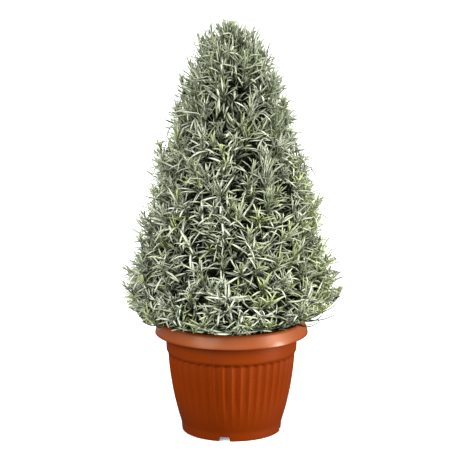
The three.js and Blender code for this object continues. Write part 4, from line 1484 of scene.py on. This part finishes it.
class LAVENDER_OT_foliage(bpy.types.Operator):
    """Grows the leafy sprays, one piece for each spray of the frame"""

    bl_idname = "lavender.foliage"
    bl_label = "Leafy Sprays"

    def execute(self, context):
        s = context.scene.lavender_foliage
        finishes = [leaf_finish(s), stalk_finish(s)]
        sprays = lay_out_sprays()
        sources = shoot_sources(sprays, twig_lines(sprays))
        tips = sprays[:, :, 2].reshape(-1, 3)
        top, top_spray = more_shoots(sources, tips, s.top_shoots, TOP)
        outer, outer_spray = more_shoots(sources, np.concatenate([tips, top[:, 2]]), s.fill_shoots, OUTER)
        outer, outer_spray = np.concatenate([outer, top]), np.concatenate([outer_spray, top_spray])
        inner, inner_spray = more_shoots(sources, outer[:, 2], s.inner_shoots, INNER)
        for k, own in enumerate(sprays):
            axes = np.concatenate([own, outer[outer_spray == k]])
            name = f"foliage_{k + 1:02d}"
            rng = np.random.default_rng(FOLIAGE_SEED + k)
            mesh = spray_mesh(name, axes, inner[inner_spray == k], s, rng)
            place(name, mesh, finishes, "leaf", f"spray_{k + 1:02d}")
        return {"FINISHED"}


# ---- stage ----


# The lamps: the direction towards each, its width in degrees and its colour.
LAMPS = {
    "left": ((-1.15, -1.35, 0.82), 38, (1.0, 1.0, 0.98)),
    "right": ((1.5, -0.65, 0.76), 24, (1.0, 0.97, 0.89)),
    "strip": ((1.5, -0.42, 0.12), 8, (1, 1, 1)),
    "front": ((0.2, -1.5, 0.42), 36, (1, 1, 1)),
    "back": ((-0.5, 1.6, 0.45), 40, (1, 1, 1)),
    "top": ((0.1, -0.3, 1.6), 30, (1, 1, 1)),
}
# Rises of the studio's sky between which the ring of softboxes begins, and then gives way to the ceiling.
RING_FOOT = (-0.1, 0.30)
RING_TOP = (0.55, 0.90)


def soft_sun(name, toward, width, strength, colour):
    """A far, wide lamp in a direction. It lights the whole floor evenly."""
    data = bpy.data.lights.new(name, "SUN")
    data.angle = width
    data.energy = strength
    data.color = colour
    light = bpy.data.objects.new(name, data)
    light.rotation_euler = Vector(toward).to_track_quat("Z", "Y").to_euler()
    bpy.context.scene.collection.objects.link(light)


class LAVENDER_OT_stage(bpy.types.Operator):
    """Sets the camera, the pale floor and the soft lights"""

    bl_idname = "lavender.stage"
    bl_label = "Stage"

    def execute(self, context):
        s = context.scene.lavender_stage
        scene = context.scene
        data = bpy.data.cameras.new("camera")
        data.sensor_width = 36
        data.lens = s.lens
        data.clip_end = 200
        camera = bpy.data.objects.new("camera", data)
        camera.location = (s.aside, -s.distance, s.rise)
        aim = Vector((s.aside, 0, s.aim_height))
        camera.rotation_euler = (aim - camera.location).to_track_quat("-Z", "Y").to_euler()
        scene.collection.objects.link(camera)
        scene.camera = camera

        finish = Finish("pale_floor", Roughness=0.9, Specular_IOR_Level=0.1, Emission_Strength=s.floor_glow)
        cloud = finish.noise(scale=0.6, detail=2)
        finish.colour(finish.mix(cloud, s.white, lighter(s.white, 1.03)))
        finish.surface.inputs["Emission Color"].default_value = (*s.white, 1)
        square = np.array([[-1, -1, 0], [1, -1, 0], [1, 1, 0], [-1, 1, 0]])
        mesh = make_mesh("floor", square * s.floor, [np.array([[0, 1, 2, 3]])])
        floor = bpy.data.objects.new("floor", mesh)
        mesh.materials.append(finish.material)
        scene.collection.objects.link(floor)
        floor.visible_diffuse = False
        floor.visible_glossy = False

        world = bpy.data.worlds.new("studio")
        world.use_nodes = True
        sky = Tree(world.node_tree)
        way = sky.node("ShaderNodeTexCoord", output="Generated")
        rise = sky.node("ShaderNodeSeparateXYZ", None, {0: way}, "Z")
        below = sky.steps(rise, *RING_FOOT, s.ground_glow, s.ring_glow)
        above = sky.steps(rise, *RING_TOP, 0.0, s.ring_glow - s.sky_glow)
        background = world.node_tree.nodes["Background"]
        sky.feed(background.inputs["Strength"], below - above)
        background.inputs["Color"].default_value = (1, 1, 1, 1)
        scene.world = world
        scene.view_settings.view_transform = "Standard"
        for name, (toward, width, colour) in LAMPS.items():
            soft_sun(f"{name}_sun", toward, math.radians(width), getattr(s, f"{name}_light"), colour)
        return {"FINISHED"}


# ---- add-on ----


class LAVENDER_PT_panel(bpy.types.Panel):
    """Lists the steps and their settings"""

    bl_label = "Potted Lavender"
    bl_idname = "LAVENDER_PT_panel"
    bl_space_type = "VIEW_3D"
    bl_region_type = "UI"
    bl_category = "Lavender"

    def draw(self, context):
        for operator, group in STEPS:
            box = self.layout.box()
            box.operator(operator.bl_idname)
            settings = getattr(context.scene, group)
            for name in settings.__annotations__:
                box.prop(settings, name)


STEPS = [
    (LAVENDER_OT_stage, "lavender_stage"),
    (LAVENDER_OT_pot, "lavender_pot"),
    (LAVENDER_OT_mix, "lavender_mix"),
    (LAVENDER_OT_wood, "lavender_wood"),
    (LAVENDER_OT_foliage, "lavender_foliage"),
]
SETTINGS = {
    "lavender_stage": StageSettings,
    "lavender_pot": PotSettings,
    "lavender_mix": MixSettings,
    "lavender_wood": WoodSettings,
    "lavender_foliage": FoliageSettings,
}
CLASSES = [*SETTINGS.values(), *(operator for operator, _ in STEPS), LAVENDER_PT_panel]


def register():
    for cls in CLASSES:
        bpy.utils.register_class(cls)
    for name, group in SETTINGS.items():
        setattr(bpy.types.Scene, name, bpy.props.PointerProperty(type=group))


def unregister():
    for name in SETTINGS:
        delattr(bpy.types.Scene, name)
    for cls in reversed(CLASSES):
        bpy.utils.unregister_class(cls)


def main():
    register()
    bpy.ops.lavender.stage()
    bpy.ops.lavender.pot()
    bpy.ops.lavender.mix()
    bpy.ops.lavender.wood()
    bpy.ops.lavender.foliage()
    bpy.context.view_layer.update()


if __name__ == "__main__":
    main()
